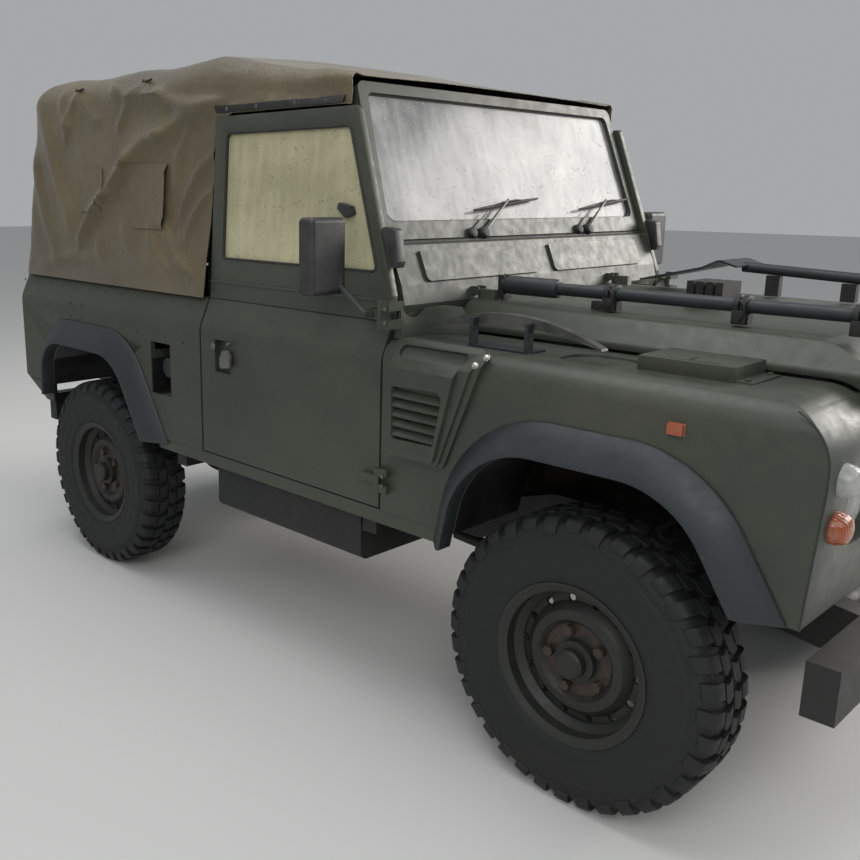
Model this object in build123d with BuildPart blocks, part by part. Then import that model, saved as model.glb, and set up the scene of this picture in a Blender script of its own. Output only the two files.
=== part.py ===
from build123d import *
import math
import os

os.makedirs("parts", exist_ok=True)

# Millimetres. +X is the front, +Y the left side, +Z up, and z = 0 is the ground.
# x = 0 is the middle of the overall length, y = 0 the centre line.

# Overall size and running gear
overall_length = 3725
wheelbase = 2360
track = 1486
front_overhang = 620
tyre_radius = 398
tyre_width = 206
tread_width = 178
lug_height = 14
rim_bead_radius = 205
rim_flange_radius = 221
rim_half_width = 93
axle_tube_radius = 44
kingpin_y = 660
stub_radius = 30

# Body
body_half_width = 833
shoulder_radius = 86
shoulder_z = 1112
waist_z = 1214
wing_top_z = 1170
wing_shoulder_radius = 62
wing_inner_y = 525
sill_z = 656
sill_drop = 44
wall = 20
door_front_x = 557
door_rear_x = -338
door_gap = 6
door_rear_gap = 10
door_thickness = 52
tub_rear_x = -1748
tub_floor_z = 712
tub_floor_skin = 24
wheel_box_z = 988
wheel_box_y = 500
tailgate_half_width = 462
wing_front_x = 1767
bumper_face_x = overall_length / 2
rearmost_x = -overall_length / 2

# Bonnet, scuttle and windscreen
bonnet_half_width = 552
bonnet_top_z = 1262
bonnet_rear_x = 572
bonnet_front_x = 1762
bonnet_skin = 12
scuttle_top_z = 1436
screen_foot_x = 462
screen_top_x = 298
screen_top_z = 1908
screen_half_width = 706
screen_foot_half_width = 742
screen_rail = 34

# Canvas hood
hood_thickness = 8
hood_top_z = 2030
hood_front_x = 322
hood_rear_top_x = -1600
hood_rear_foot_x = -1752
hood_foot_half_width = 812
hood_top_half_width = 726

# Clearances
seat_gap = 0.3
moving_gap = 6

# Worked out from the driving sizes
front_axle_x = bumper_face_x - front_overhang
rear_axle_x = front_axle_x - wheelbase
axle_z = tyre_radius
wheel_y = track / 2
body_side_y = body_half_width
wing_rear_x = door_front_x + door_gap + 2

pieces = {}


def keep(builder, label):
    """Name a finished piece and file it for export."""
    builder.part.label = label
    pieces[label] = builder.part


def block(x, y, z, mode=Mode.ADD):
    """A box between two limits along each axis."""
    with Locations(((x[0] + x[1]) / 2, (y[0] + y[1]) / 2, (z[0] + z[1]) / 2)):
        Box(abs(x[1] - x[0]), abs(y[1] - y[0]), abs(z[1] - z[0]), mode=mode)


def prism(plane, corners, length, mode=Mode.ADD, taper=0):
    """Extrude a closed outline whose corners are (u, v, radius)."""
    with BuildSketch(plane) as outline:
        with BuildLine():
            FilletPolyline(*[c[:2] for c in corners], radius=[c[2] for c in corners], close=True)
        make_face()
    extrude(outline.sketch, amount=length, mode=mode, taper=taper)


def rod(start, end, radius, mode=Mode.ADD):
    """A round bar from one point to another."""
    axis = Vector(*end) - Vector(*start)
    with BuildSketch(Plane(origin=start, z_dir=axis)) as section:
        Circle(radius)
    extrude(section.sketch, amount=axis.length, mode=mode)


def bent_tube(points, bend, radius):
    """A round bar along straight runs with rounded bends."""
    with BuildLine() as path:
        FilletPolyline(*points, radius=bend)
    with BuildSketch(path.line ^ 0) as section:
        Circle(radius)
    sweep(section.sketch, path=path.line)


def side_outline(side, inset, foot_z, top_z=waist_z):
    """Half section of the body side: upright, then turned in at the shoulder."""
    outer = side * (body_side_y - inset)
    top = side * (body_side_y - inset - (shoulder_radius - 40))
    return [(outer, foot_z, 0), (outer, shoulder_z, shoulder_radius), (top, top_z, 0)]


def body_wall(side, x, inset, thickness, foot_z, top_z=waist_z):
    """A length of body side as thick as the wall."""
    outer = side_outline(side, inset, foot_z, top_z)
    inner = side_outline(side, inset + thickness, foot_z, top_z)
    prism(Plane.YZ.offset(x[0]), outer + inner[::-1], x[1] - x[0])


def arch_outline(axle_x, arch, grow=0, rear_grow=0, foot_z=560):
    """Wheel arch opening as (x, z, radius); arch holds rear, front, lean and top."""
    rear, front, rear_lean, front_lean, top, corner = arch
    return [
        (axle_x + rear - rear_grow, foot_z, 0),
        (axle_x + rear + rear_lean - rear_grow, top + grow, corner + grow),
        (axle_x + front - front_lean + grow, top + grow, corner + grow),
        (axle_x + front + grow, foot_z, 0),
    ]


# rear and front foot from the axle, lean of each leg, top height, corner radius
front_arch = (-412, 448, 60, 128, 927, 128)
rear_arch = (-352, 420, 62, 120, 966, 120)
flare_width = 92
flare_depth = 55
flare_rear_leg = {"front": 20, "rear": 150}
flare_taper = 30
flare_foot = {"front": (612, 690), "rear": (690, 650)}


# Wheels: tyre and rim with its hub, one set at each corner
# Columns: label, axle x, side (+1 left, -1 right)
corners = [
    ("front_right", front_axle_x, -1),
    ("front_left", front_axle_x, 1),
    ("rear_right", rear_axle_x, -1),
    ("rear_left", rear_axle_x, 1),
]

# Tyre half section as (radius, distance from the middle, corner radius)
tyre_section = [
    (rim_bead_radius, rim_half_width - 16, 0),
    (rim_flange_radius + 8, rim_half_width - 4, 6),
    (rim_flange_radius + 62, tyre_width / 2, 50),
    (tyre_radius - 58, tyre_width / 2 - 2, 30),
    (tyre_radius - lug_height, tread_width / 2, 12),
]

# Rim, disc and hub section, outboard positive from the wheel's middle: (radius, offset)
disc_face = 40
rim_outline = [
    (rim_flange_radius, rim_half_width),
    (rim_flange_radius, rim_half_width - 7),
    (rim_bead_radius - 2, rim_half_width - 15),
    (rim_bead_radius - 4, 52),
    (182, 36),
    (182, -34),
    (rim_bead_radius - 4, -50),
    (rim_bead_radius - 2, -rim_half_width + 15),
    (rim_flange_radius, -rim_half_width + 7),
    (rim_flange_radius, -rim_half_width),
    (rim_flange_radius - 6, -rim_half_width),
    (rim_bead_radius - 9, -rim_half_width + 10),
    (rim_bead_radius - 10, -52),
    (176, -38),
    (176, 18),
    (154, 22),
    (132, disc_face + 5),
    (114, disc_face + 9),
    (101, disc_face - 8),
    (82, disc_face - 8),
    (82, 20),
    (149, 20),
    (149, 6),
    (78, 6),
    (78, 3),
    (stub_radius + seat_gap, 3),
    (stub_radius + seat_gap, 52),
    (0, 52),
    (0, 92),
    (34, 92),
    (40, 86),
    (40, 64),
    (56, 60),
    (56, disc_face),
    (98, disc_face),
    (112, disc_face + 16),
    (136, disc_face + 12),
    (158, 30),
    (176, 28),
    (176, 33),
    (rim_bead_radius - 10, 52),
    (rim_bead_radius - 9, rim_half_width - 10),
    (rim_flange_radius - 6, rim_half_width),
]
rim_holes = 14
rim_hole_radius = 11
rim_hole_circle = 165
stud_circle = 82.5
nut_radius = 15

# Both forms are made round the Y axis with their outboard face at +Y
wheel_section = Plane(origin=(0, 0, 0), x_dir=(0, 0, 1), z_dir=(-1, 0, 0))
outboard = Plane(origin=(0, 0, 0), x_dir=(1, 0, 0), z_dir=(0, 1, 0))
with BuildPart() as tyre_form:
    half = tyre_section
    outline = half + [(r, -off, c) for r, off, c in reversed(half)]
    with BuildSketch(wheel_section):
        with BuildLine():
            FilletPolyline(*[c[:2] for c in outline], radius=[c[2] for c in outline], close=True)
        make_face()
        with Locations((tyre_radius - (lug_height + 6) / 2, 0)):
            Rectangle(lug_height + 6, tread_width - 20)
    revolve(axis=Axis.Y)

with BuildPart() as rim_form:
    with BuildSketch(wheel_section):
        with BuildLine():
            Polyline(*rim_outline, close=True)
        make_face()
    revolve(axis=Axis.Y)
    with BuildSketch(outboard):
        with PolarLocations(rim_hole_circle, rim_holes):
            Circle(rim_hole_radius)
    extrude(amount=60, mode=Mode.SUBTRACT)
    with BuildSketch(outboard.offset(disc_face)):
        with PolarLocations(stud_circle, 5):
            RegularPolygon(nut_radius, 6)
    extrude(amount=20)

for label, axle_x, side in corners:
    place = Location((axle_x, side * wheel_y, axle_z), (0, 0, 90 - 90 * side))
    for form, name in ((tyre_form, "tyre"), (rim_form, "rim")):
        piece = form.part.moved(place)
        piece.label = label + "_" + name
        pieces[piece.label] = piece


# Front axle with its swivel balls, and the rear axle with its stubs
ball_radius = 62
diff_y = -150
diff_radius = 128
axle_end_y = 740
nose_length = 190
with BuildPart() as axles:
    for axle_x, nose in ((front_axle_x, -1), (rear_axle_x, 1)):
        end_y = kingpin_y - 40 if nose < 0 else axle_end_y
        rod((axle_x, -end_y, axle_z), (axle_x, end_y, axle_z), axle_tube_radius)
        with Locations((axle_x, diff_y, axle_z)):
            Sphere(diff_radius)
        rod((axle_x, diff_y, axle_z), (axle_x + nose * nose_length, diff_y, axle_z), 58)
        for side in (-1, 1):
            if nose < 0:
                with Locations((axle_x, side * kingpin_y, axle_z)):
                    Sphere(ball_radius)
            else:
                rod((axle_x, side * (axle_end_y - 16), axle_z), (axle_x, side * axle_end_y, axle_z), 92)
                rod((axle_x, side * axle_end_y, axle_z), (axle_x, side * (wheel_y + 50), axle_z), stub_radius)
keep(axles, "axles")

# Swivel housings: a cup outside each ball, carried by pins above and below
housing_radius = 80
arm_length = 150
arm_y = kingpin_y - 40
track_rod_z = axle_z - 78
rod_eye_radius = 20
for label, side in (("right", -1), ("left", 1)):
    centre = (front_axle_x, side * kingpin_y, axle_z)
    with BuildPart() as knuckle:
        rod((front_axle_x, side * (kingpin_y + 20), axle_z), (front_axle_x, side * (wheel_y - 3), axle_z), housing_radius)
        with Locations(centre):
            Sphere(ball_radius + 5, mode=Mode.SUBTRACT)
        rod((front_axle_x, side * (kingpin_y + 20), axle_z), (front_axle_x, side * (wheel_y + 50), axle_z), stub_radius)
        with Locations(centre):
            Sphere(ball_radius + 5, mode=Mode.SUBTRACT)
        for up in (-1, 1):
            lug_z = (axle_z + up * (ball_radius + seat_gap), axle_z + up * (ball_radius + 26))
            block(
                (front_axle_x - 30, front_axle_x + 30),
                (side * (kingpin_y - 26), side * (wheel_y - 3)),
                lug_z,
            )
        block(
            (front_axle_x - arm_length - rod_eye_radius, front_axle_x - 20),
            (side * (arm_y - 16), side * (arm_y + 16)),
            (track_rod_z - 12, track_rod_z + 8),
        )
        block(
            (front_axle_x - 60, front_axle_x - 20),
            (side * (arm_y - 16), side * (wheel_y - 6)),
            (track_rod_z - 12, track_rod_z + 8),
        )
    keep(knuckle, label + "_knuckle")

with BuildPart() as track_rod:
    rod_z = track_rod_z - 12 - moving_gap - 16
    rod(
        (front_axle_x - arm_length, -arm_y, rod_z),
        (front_axle_x - arm_length, arm_y, rod_z),
        15,
    )
    for side in (-1, 1):
        rod(
            (front_axle_x - arm_length, side * arm_y, rod_z - 20),
            (front_axle_x - arm_length, side * arm_y, track_rod_z - 12 - seat_gap),
            rod_eye_radius - 4,
        )
keep(track_rod, "track_rod")

engine_half_width = 255

# Chassis: two rails that rise over the axles, cross tubes, outriggers and seats
rail_y = (340, 415)
rail_depth = 128
# Columns: x, height of the rail's top
rail_top = [
    (tub_rear_x + 6, 640),
    (-1420, 640),
    (rear_axle_x - 110, tub_floor_z - tub_floor_skin - seat_gap),
    (rear_axle_x + 150, tub_floor_z - tub_floor_skin - seat_gap),
    (-640, 600),
    (620, 600),
    (900, 690),
    (1380, 690),
    (1600, 620),
    (bumper_face_x - 74, 590),
]
spring_y = 492
spring_radius = 62
turret_z = {"front": 712, "rear": 642}
crossmember_z = (510, 640)
tank_inner_y = 440
cab_floor_foot_z = 620
with BuildPart() as chassis_frame:
    for side in (-1, 1):
        low = [(x, z - rail_depth) for x, z in reversed(rail_top)]
        with BuildSketch(Plane.XZ.offset(-side * rail_y[0])):
            with BuildLine():
                Polyline(*rail_top, *low, close=True)
            make_face()
        extrude(amount=-side * (rail_y[1] - rail_y[0]))
        for axle_x, seat_z in ((front_axle_x, turret_z["front"]), (rear_axle_x, turret_z["rear"])):
            block((axle_x - 70, axle_x + 70), (side * 400, side * (spring_y + 70)), (seat_z, seat_z + 14))
            block((axle_x - 60, axle_x + 60), (side * 400, side * (rail_y[1] + 14)), (seat_z - 60, seat_z + 14))
        for x in (-560, 470):
            block((x - 30, x + 30), (side * 400, side * 780), (540, 590))
        for x in (-80, 440):
            block((x - 35, x + 35), (side * rail_y[0], side * rail_y[1]), (598, cab_floor_foot_z - seat_gap))
        block((860, 940), (side * (engine_half_width + seat_gap), side * 350), (590, 650))
    for x in (-240, 320):
        block((x - 20, x + 20), (-400, -tank_inner_y + seat_gap), (490, 566))
    for x, z in ((-600, 560), (-180, 560), (1700, 548)):
        rod((x, -350, z), (x, 350, z), 36)
    block((tub_rear_x - 14, tub_rear_x + 46), (-720, 720), crossmember_z)
    with BuildSketch(Plane.YZ.offset(tub_rear_x - 80)):
        for y in (-110, 110):
            for z in (crossmember_z[0] + 30, crossmember_z[1] - 30):
                with Locations((y, z)):
                    Circle(9)
    extrude(amount=160, mode=Mode.SUBTRACT)
keep(chassis_frame, "chassis_frame")

with BuildPart() as suspension:
    for side in (-1, 1):
        for axle_x, seat_z in ((front_axle_x, turret_z["front"]), (rear_axle_x, turret_z["rear"])):
            rod(
                (axle_x, side * spring_y, axle_z + axle_tube_radius + seat_gap),
                (axle_x, side * spring_y, seat_z - seat_gap),
                spring_radius,
            )
keep(suspension, "coil_springs")

# Radius arms from each axle to the chassis
with BuildPart() as radius_arms:
    for side in (-1, 1):
        for axle_x, far_x in ((front_axle_x, 500), (rear_axle_x, -520)):
            direction = 1 if far_x > axle_x else -1
            start = axle_x + direction * (axle_tube_radius + seat_gap)
            rod((start, side * 378, axle_z), (far_x, side * 378, 446), 20)
            rod((far_x, side * 378, 446), (far_x, side * 378, 472 - seat_gap), 20)
keep(radius_arms, "radius_arms")

# Engine as one plain block, and the gearbox with its shafts
engine_x = (760, 1420)
with BuildPart() as engine_block:
    block(engine_x, (-engine_half_width, engine_half_width), (560, 1060))
keep(engine_block, "engine_block")

gearbox_rear_x = -20
shaft_gap = 6
with BuildPart() as driveline:
    prism(
        Plane.YZ.offset(gearbox_rear_x),
        [(-190, 540, 40), (190, 540, 40), (150, 760, 60), (-150, 760, 60)],
        engine_x[0] - gearbox_rear_x - seat_gap,
    )
    block((120, 330), (diff_y - 70, diff_y + 70), (420, 560))
    rod((120, diff_y, 500), (rear_axle_x + nose_length + shaft_gap, diff_y, axle_z), 32)
    rod((330, diff_y, 480), (front_axle_x - nose_length - shaft_gap, diff_y, axle_z), 28)
keep(driveline, "driveline")

# Fuel tank under the right seat, exhaust on the left
with BuildPart() as fuel_tank:
    block((-340, 420), (-768, -tank_inner_y), (426, 600))
    fillet(fuel_tank.edges().filter_by(Axis.X), 30)
keep(fuel_tank, "fuel_tank")

with BuildPart() as exhaust:
    bent_tube(
        [
            (engine_x[0] - seat_gap, 224, 640),
            (690, 224, 640),
            (610, 300, 500),
            (440, 300, 438),
            (320, 498, 438),
            (-400, 498, 438),
            (-470, 250, 438),
            (-760, 250, 520),
            (-920, 250, 580),
            (-1380, 250, 580),
            (-1450, 250, 430),
            (-1560, 500, 430),
            (-1735, 560, 430),
        ],
        50,
        22,
    )
    rod((-300, 498, 438), (260, 498, 438), 68)
    block((-1165, -1135), (262, rail_y[0] - seat_gap), (572, 588))
keep(exhaust, "exhaust")


# Cab floor with the seat box, and the sills below the doors
floor_z = cab_floor_foot_z + 20
seat_box_z = 884
seat_box_x = (door_rear_x - door_rear_gap + seat_gap, 96)
bulkhead_x = (534, 560)
with BuildPart() as cab_floor:
    block((seat_box_x[1] - 30, bulkhead_x[0] - seat_gap), (-798, 798), (floor_z - 20, floor_z))
    block(seat_box_x, (-770, 770), (floor_z - 20, seat_box_z))
    block((seat_box_x[0] + 20, seat_box_x[1] - 20), (-750, 750), (floor_z - 40, seat_box_z - 20), Mode.SUBTRACT)
    prism(
        Plane.YZ.offset(seat_box_x[1] - 10),
        [(-200, floor_z, 0), (200, floor_z, 0), (160, floor_z + 180, 50), (-160, floor_z + 180, 50)],
        bulkhead_x[0] - seat_box_x[1] + 10 - seat_gap,
    )
    prism(
        Plane.YZ.offset(seat_box_x[1] - 30),
        [(-192, floor_z - 60, 0), (192, floor_z - 60, 0), (152, floor_z + 168, 46), (-152, floor_z + 168, 46)],
        bulkhead_x[0] - seat_box_x[1] + 40,
        Mode.SUBTRACT,
    )
keep(cab_floor, "cab_floor")

sill_x = (-640, 812)
with BuildPart() as sills:
    for side in (-1, 1):
        block(sill_x, (side * (body_side_y - 4), side * (body_side_y - 24)), (sill_z - moving_gap - sill_drop, sill_z - moving_gap))
        block(sill_x, (side * (body_side_y - 24), side * 800), (sill_z - moving_gap - 10, sill_z - moving_gap))
keep(sills, "sills")

# Bulkhead: firewall, corner posts, and the scuttle with its vent openings
post_width = 64
scuttle_profile = [
    (bulkhead_x[1], 1240, 0),
    (bonnet_rear_x - 8, 1262, 0),
    (bonnet_rear_x - 22, 1318, 10),
    (screen_foot_x + 46, scuttle_top_z - 20, 0),
    (screen_foot_x + 40, scuttle_top_z, 8),
    (screen_foot_x - 56, scuttle_top_z, 8),
    (screen_foot_x - 56, 1290, 0),
    (bulkhead_x[0], 1230, 0),
]
vent_y = (46, 630)
bonnet_pivot = (576, 1290)
bonnet_hinge_y = 400
bonnet_barrel = (14, 8)
gusset_y = 788.7
gusset_top_z = 1252
with BuildPart() as bulkhead:
    block(bulkhead_x, (-772, 772), (sill_z - moving_gap + seat_gap, 1096))
    block(bulkhead_x, (-728, 728), (1090, 1245))
    prism(
        Plane.YZ.offset(bulkhead_x[0] - 9),
        [(-200, 560, 0), (200, 560, 0), (160, floor_z + 172, 50), (-160, floor_z + 172, 50)],
        60,
        Mode.SUBTRACT,
    )
    prism(Plane.XZ.offset(-screen_foot_half_width), scuttle_profile, 2 * screen_foot_half_width)
    for side in (-1, 1):
        block((bulkhead_x[0] - 30, bulkhead_x[1]), (side * 772, side * (772 - post_width)), (sill_z, 1096))
        block((bulkhead_x[0] - 30, bulkhead_x[1]), (side * 728, side * (772 - post_width)), (1090, 1245))
    with BuildSketch(Plane.XY.offset(wing_top_z + seat_gap)):
        with BuildLine():
            Polyline((600, gusset_y), (wing_rear_x - 2, gusset_y), (wing_rear_x - 2, 560), (760, 560))
            ThreePointArc((760, 560), (622, 604), (600, gusset_y))
        make_face()
    extrude(amount=gusset_top_z - wing_top_z, taper=8)
    mirror(about=Plane.XZ)
    for side in (-1, 1):
        for y in (bonnet_hinge_y - bonnet_barrel[0] - seat_gap - 7, bonnet_hinge_y + bonnet_barrel[0] + seat_gap):
            block((548, bonnet_pivot[0] + 8), (side * y, side * (y + 7)), (1276, 1300))
keep(bulkhead, "bulkhead")

# Body halves of the door hinges: leaves with an upper and a lower barrel
hinge_x = (door_front_x + wing_rear_x) / 2
hinge_y = body_side_y + 12
hinge_barrel_radius = 9
# Columns: lower and upper end of each hinge
hinge_heights = [(712, 785), (1204, 1282)]
with BuildPart() as door_hinges:
    for side in (-1, 1):
        for low, high in hinge_heights:
            third = (high - low) / 3
            for z0, z1 in ((low, low + third - seat_gap), (high - third + seat_gap, high)):
                rod((hinge_x, side * hinge_y, z0), (hinge_x, side * hinge_y, z1), hinge_barrel_radius)
                reach = body_side_y + seat_gap if high < wing_top_z else 789
                block((hinge_x, hinge_x + 42), (side * (hinge_y - 5), side * (hinge_y + 5)), (z0, z1))
                block((hinge_x + 30, hinge_x + 42), (side * reach, side * (hinge_y + 5)), (z0, z1))
keep(door_hinges, "door_hinges")

# Windscreen: a leaning frame with one pane
screen_rise = Vector(screen_top_x - screen_foot_x, 0, screen_top_z - scuttle_top_z)
screen_height = screen_rise.length
screen_thickness = 36
screen_plane = Plane(
    origin=(screen_foot_x, 0, scuttle_top_z),
    x_dir=(0, 1, 0),
    z_dir=(screen_rise.Z, 0, -screen_rise.X),
)
screen_lift = (seat_gap - screen_rise.X / screen_height * screen_thickness / 2) * screen_height / screen_rise.Z
screen_foot_rail = 56


def screen_outline(inset, foot_inset):
    """Trapezoid of the windscreen, narrower at the top."""
    foot = screen_foot_half_width - inset
    top = screen_half_width - inset
    low = screen_lift + foot_inset
    high = screen_height - inset
    radius = 26 if inset else 30
    return [(-foot, low, radius), (-top, high, radius), (top, high, radius), (foot, low, radius)]


with BuildPart() as windscreen_frame:
    prism(screen_plane.offset(-screen_thickness / 2), screen_outline(0, 0), screen_thickness)
    prism(
        screen_plane.offset(-screen_thickness),
        screen_outline(screen_rail, screen_foot_rail),
        2 * screen_thickness,
        Mode.SUBTRACT,
    )
keep(windscreen_frame, "windscreen_frame")

with BuildPart() as windscreen_glass:
    prism(
        screen_plane.offset(-3),
        screen_outline(screen_rail + seat_gap, screen_foot_rail + seat_gap),
        6,
    )
keep(windscreen_glass, "windscreen_glass")

# Vent flaps on the scuttle's sloping face
vent_foot = Vector(bonnet_rear_x - 22, 0, 1318)
vent_head = Vector(screen_foot_x + 46, 0, scuttle_top_z - 20)
vent_rise = vent_head - vent_foot
vent_plane = Plane(origin=vent_foot, x_dir=(0, 1, 0), z_dir=(vent_rise.Z, 0, -vent_rise.X))
with BuildPart() as vent_flaps:
    for side in (-1, 1):
        near, far = side * vent_y[0], side * vent_y[1]
        prism(
            vent_plane.offset(seat_gap),
            [(near, 6, 18), (far, 6, 18), (far, vent_rise.length - 4, 0), (near, vent_rise.length - 4, 0)],
            9,
        )
keep(vent_flaps, "vent_flaps")

# Wipers: pivot, arm and blade, parked low on the pane
# Columns: pivot y, blade middle y
wiper_places = [(-294, -106), (331, 520)]
wiper_stand = 26
with BuildPart() as wipers:
    for pivot_y, blade_y in wiper_places:
        foot = screen_plane.from_local_coords((pivot_y, 34, screen_thickness / 2 + seat_gap))
        head = screen_plane.from_local_coords((pivot_y, 34, screen_thickness / 2 + wiper_stand))
        rod(foot, head, 11)
        tip = screen_plane.from_local_coords((blade_y, 148, screen_thickness / 2 + wiper_stand - 6))
        start = screen_plane.from_local_coords((pivot_y, 34, screen_thickness / 2 + wiper_stand - 6))
        rod(start, tip, 4)
        ends = [
            screen_plane.from_local_coords((blade_y + d, 146 + d / 14, screen_thickness / 2 + wiper_stand - 14))
            for d in (-150, 150)
        ]
        rod(ends[0], ends[1], 5)
keep(wipers, "wipers")


# Wings: outer skin, shoulder, inner wall and the front face that holds the lamps
lamp_box_x = 1640
lamp_box_y = 432
wing_foot_z = {"rear": sill_z - moving_gap + seat_gap, "front": 690}


def wing_section(grow=0):
    """Cross-section of the wing, right side, as (y, z, radius)."""
    return [
        (-body_side_y - grow, wing_foot_z["rear"], 0),
        (-body_side_y - grow, wing_top_z + grow, wing_shoulder_radius + grow),
        (-wing_inner_y, wing_top_z + grow, 0),
        (-wing_inner_y, wing_foot_z["rear"], 0),
    ]


headlamp_y = 590
headlamp_z = 930
headlamp_radius = 90
with BuildPart() as right_wing:
    prism(Plane.YZ.offset(wing_rear_x), wing_section(), wing_front_x - wing_rear_x)
    block((lamp_box_x, wing_front_x), (-wing_inner_y, -lamp_box_y), (wing_foot_z["front"], wing_top_z - moving_gap - 12))
    front_edges = right_wing.edges().filter_by_position(Axis.X, wing_front_x - 0.1, wing_front_x + 0.1)
    outer_edges = [e for e in front_edges if e.center().Z > 900 or e.center().Y < -body_side_y + 30]
    fillet([e for e in outer_edges if e.center().Y < -wing_inner_y], 34)
    block((front_axle_x, wing_front_x + 9), (-body_side_y - 9, -wing_inner_y), (0, wing_foot_z["front"]), Mode.SUBTRACT)
    prism(Plane.XZ.offset(wing_inner_y - 9), arch_outline(front_axle_x, front_arch), 400, Mode.SUBTRACT)
    with BuildSketch(Plane.YZ.offset(wing_front_x - 26)):
        with Locations((-headlamp_y, headlamp_z)):
            Circle(headlamp_radius + 14)
    extrude(amount=60, mode=Mode.SUBTRACT)
    with Locations((1090, -690, wing_top_z)):
        Cylinder(92, 14, mode=Mode.SUBTRACT)
keep(right_wing, "right_wing")

pieces["left_wing"] = mirror(right_wing.part, about=Plane.XZ)
pieces["left_wing"].label = "left_wing"

# Flares round the four arches
with BuildPart() as arch_flares:
    for end, axle_x, arch in (("front", front_axle_x, front_arch), ("rear", rear_axle_x, rear_arch)):
        foot = flare_foot[end]
        base = Plane.XZ.offset(body_side_y + seat_gap)
        prism(base, arch_outline(axle_x, arch, flare_width, flare_rear_leg[end]), flare_depth, taper=flare_taper)
        prism(base.offset(-1), arch_outline(axle_x, arch), flare_depth + 2, Mode.SUBTRACT)
        block((axle_x - 700, axle_x), (-990, -800), (500, foot[0]), Mode.SUBTRACT)
        block((axle_x, axle_x + 700), (-990, -800), (500, foot[1]), Mode.SUBTRACT)
    mirror(about=Plane.XZ)
keep(arch_flares, "arch_flares")

# Air intake: a raised panel on the right wing with a slatted opening
intake_face_y = 872
intake_corners = [(604, 826, 14), (612, 1182, 20), (934, 1182, 26), (800, 826, 30)]
louvre_corners = [(622, 898, 8), (622, 1046, 8), (786, 1046, 8), (746, 898, 8)]
with BuildPart() as air_intake:
    prism(Plane.XZ.offset(760), intake_corners, intake_face_y - 760)
    chamfer(air_intake.faces().sort_by(Axis.Y)[0].edges(), 10)
    prism(Plane.YZ.offset(500), wing_section(seat_gap), 600, Mode.SUBTRACT)
    block((500, 1000), (-body_side_y - seat_gap, -500), (600, wing_top_z + seat_gap), Mode.SUBTRACT)
    prism(Plane.XZ.offset(intake_face_y - 22), louvre_corners, 40, Mode.SUBTRACT)
    for n in range(5):
        z = 912 + n * 29
        block((618, 760 + n * 7), (-intake_face_y + 23, -intake_face_y + 8), (z, z + 13))
keep(air_intake, "air_intake")

# Front panel with the grille between the lamp boxes
grille_y = 330
grille_z = (760, 1090)
grille_bars = 9
with BuildPart() as front_panel:
    block((wing_front_x - 40, wing_front_x - 16), (-lamp_box_y + seat_gap, lamp_box_y - seat_gap), (700, wing_top_z - moving_gap - 12))
    block((wing_front_x - 50, wing_front_x), (-grille_y, grille_y), grille_z, Mode.SUBTRACT)
    pitch = (grille_z[1] - grille_z[0]) / grille_bars
    for n in range(grille_bars):
        z = grille_z[0] + (n + 0.5) * pitch
        block((wing_front_x - 34, wing_front_x - 12), (-grille_y - 4, grille_y + 4), (z - 5, z + 5))
    for y in (-grille_y / 3, grille_y / 3):
        block((wing_front_x - 38, wing_front_x - 30), (y - 5, y + 5), (grille_z[0] - 4, grille_z[1] + 4))
keep(front_panel, "front_panel")

with BuildPart() as radiator:
    block((wing_front_x - 130, wing_front_x - 60), (-lamp_box_y + 20, lamp_box_y - 20), (640, 1110))
    for side in (-1, 1):
        block((wing_front_x - 130, wing_front_x - 60), (side * 345, side * 405), (614.5, 640))
keep(radiator, "radiator")

# Lamps
lens_rise = 22
lens_radius = (headlamp_radius**2 + lens_rise**2) / (2 * lens_rise)
lens_angle = math.asin(headlamp_radius / lens_radius) / 2
lens_middle = (
    lens_radius * math.sin(lens_angle),
    34 + lens_rise - lens_radius * (1 - math.cos(lens_angle)),
)
lamp_section = Plane(
    origin=(wing_front_x - 26 + seat_gap, -headlamp_y, headlamp_z), x_dir=(0, 0, 1), z_dir=(0, 1, 0)
)
with BuildPart() as headlamps:
    with BuildSketch(lamp_section):
        with BuildLine():
            Polyline((0, 34 + lens_rise), (0, 0), (headlamp_radius + 12, 0), (headlamp_radius + 12, 30))
            Line((headlamp_radius + 12, 30), (headlamp_radius, 34))
            ThreePointArc((headlamp_radius, 34), lens_middle, (0, 34 + lens_rise))
        make_face()
    revolve(axis=Axis((wing_front_x, -headlamp_y, headlamp_z), (1, 0, 0)))
    mirror(about=Plane.XZ)
keep(headlamps, "headlamps")

# Columns: y, z of the lamps on the front and the rear
front_lamp_places = [(748, 1010), (748, 905)]
rear_lamp_places = [(765, 1120), (765, 1030), (765, 940)]
small_lamp_radius = 37
repeater = ((1456, 1500), (1056, 1090))
with BuildPart() as small_lamps:
    for y, z in front_lamp_places:
        rod((wing_front_x + seat_gap, -y, z), (wing_front_x + 36, -y, z), small_lamp_radius)
    for y, z in rear_lamp_places:
        rod((tub_rear_x - seat_gap, -y, z), (tub_rear_x - 36, -y, z), small_lamp_radius)
    block(repeater[0], (-body_side_y - seat_gap, -body_side_y - 15), repeater[1])
    mirror(about=Plane.XZ)
keep(small_lamps, "small_lamps")

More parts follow.
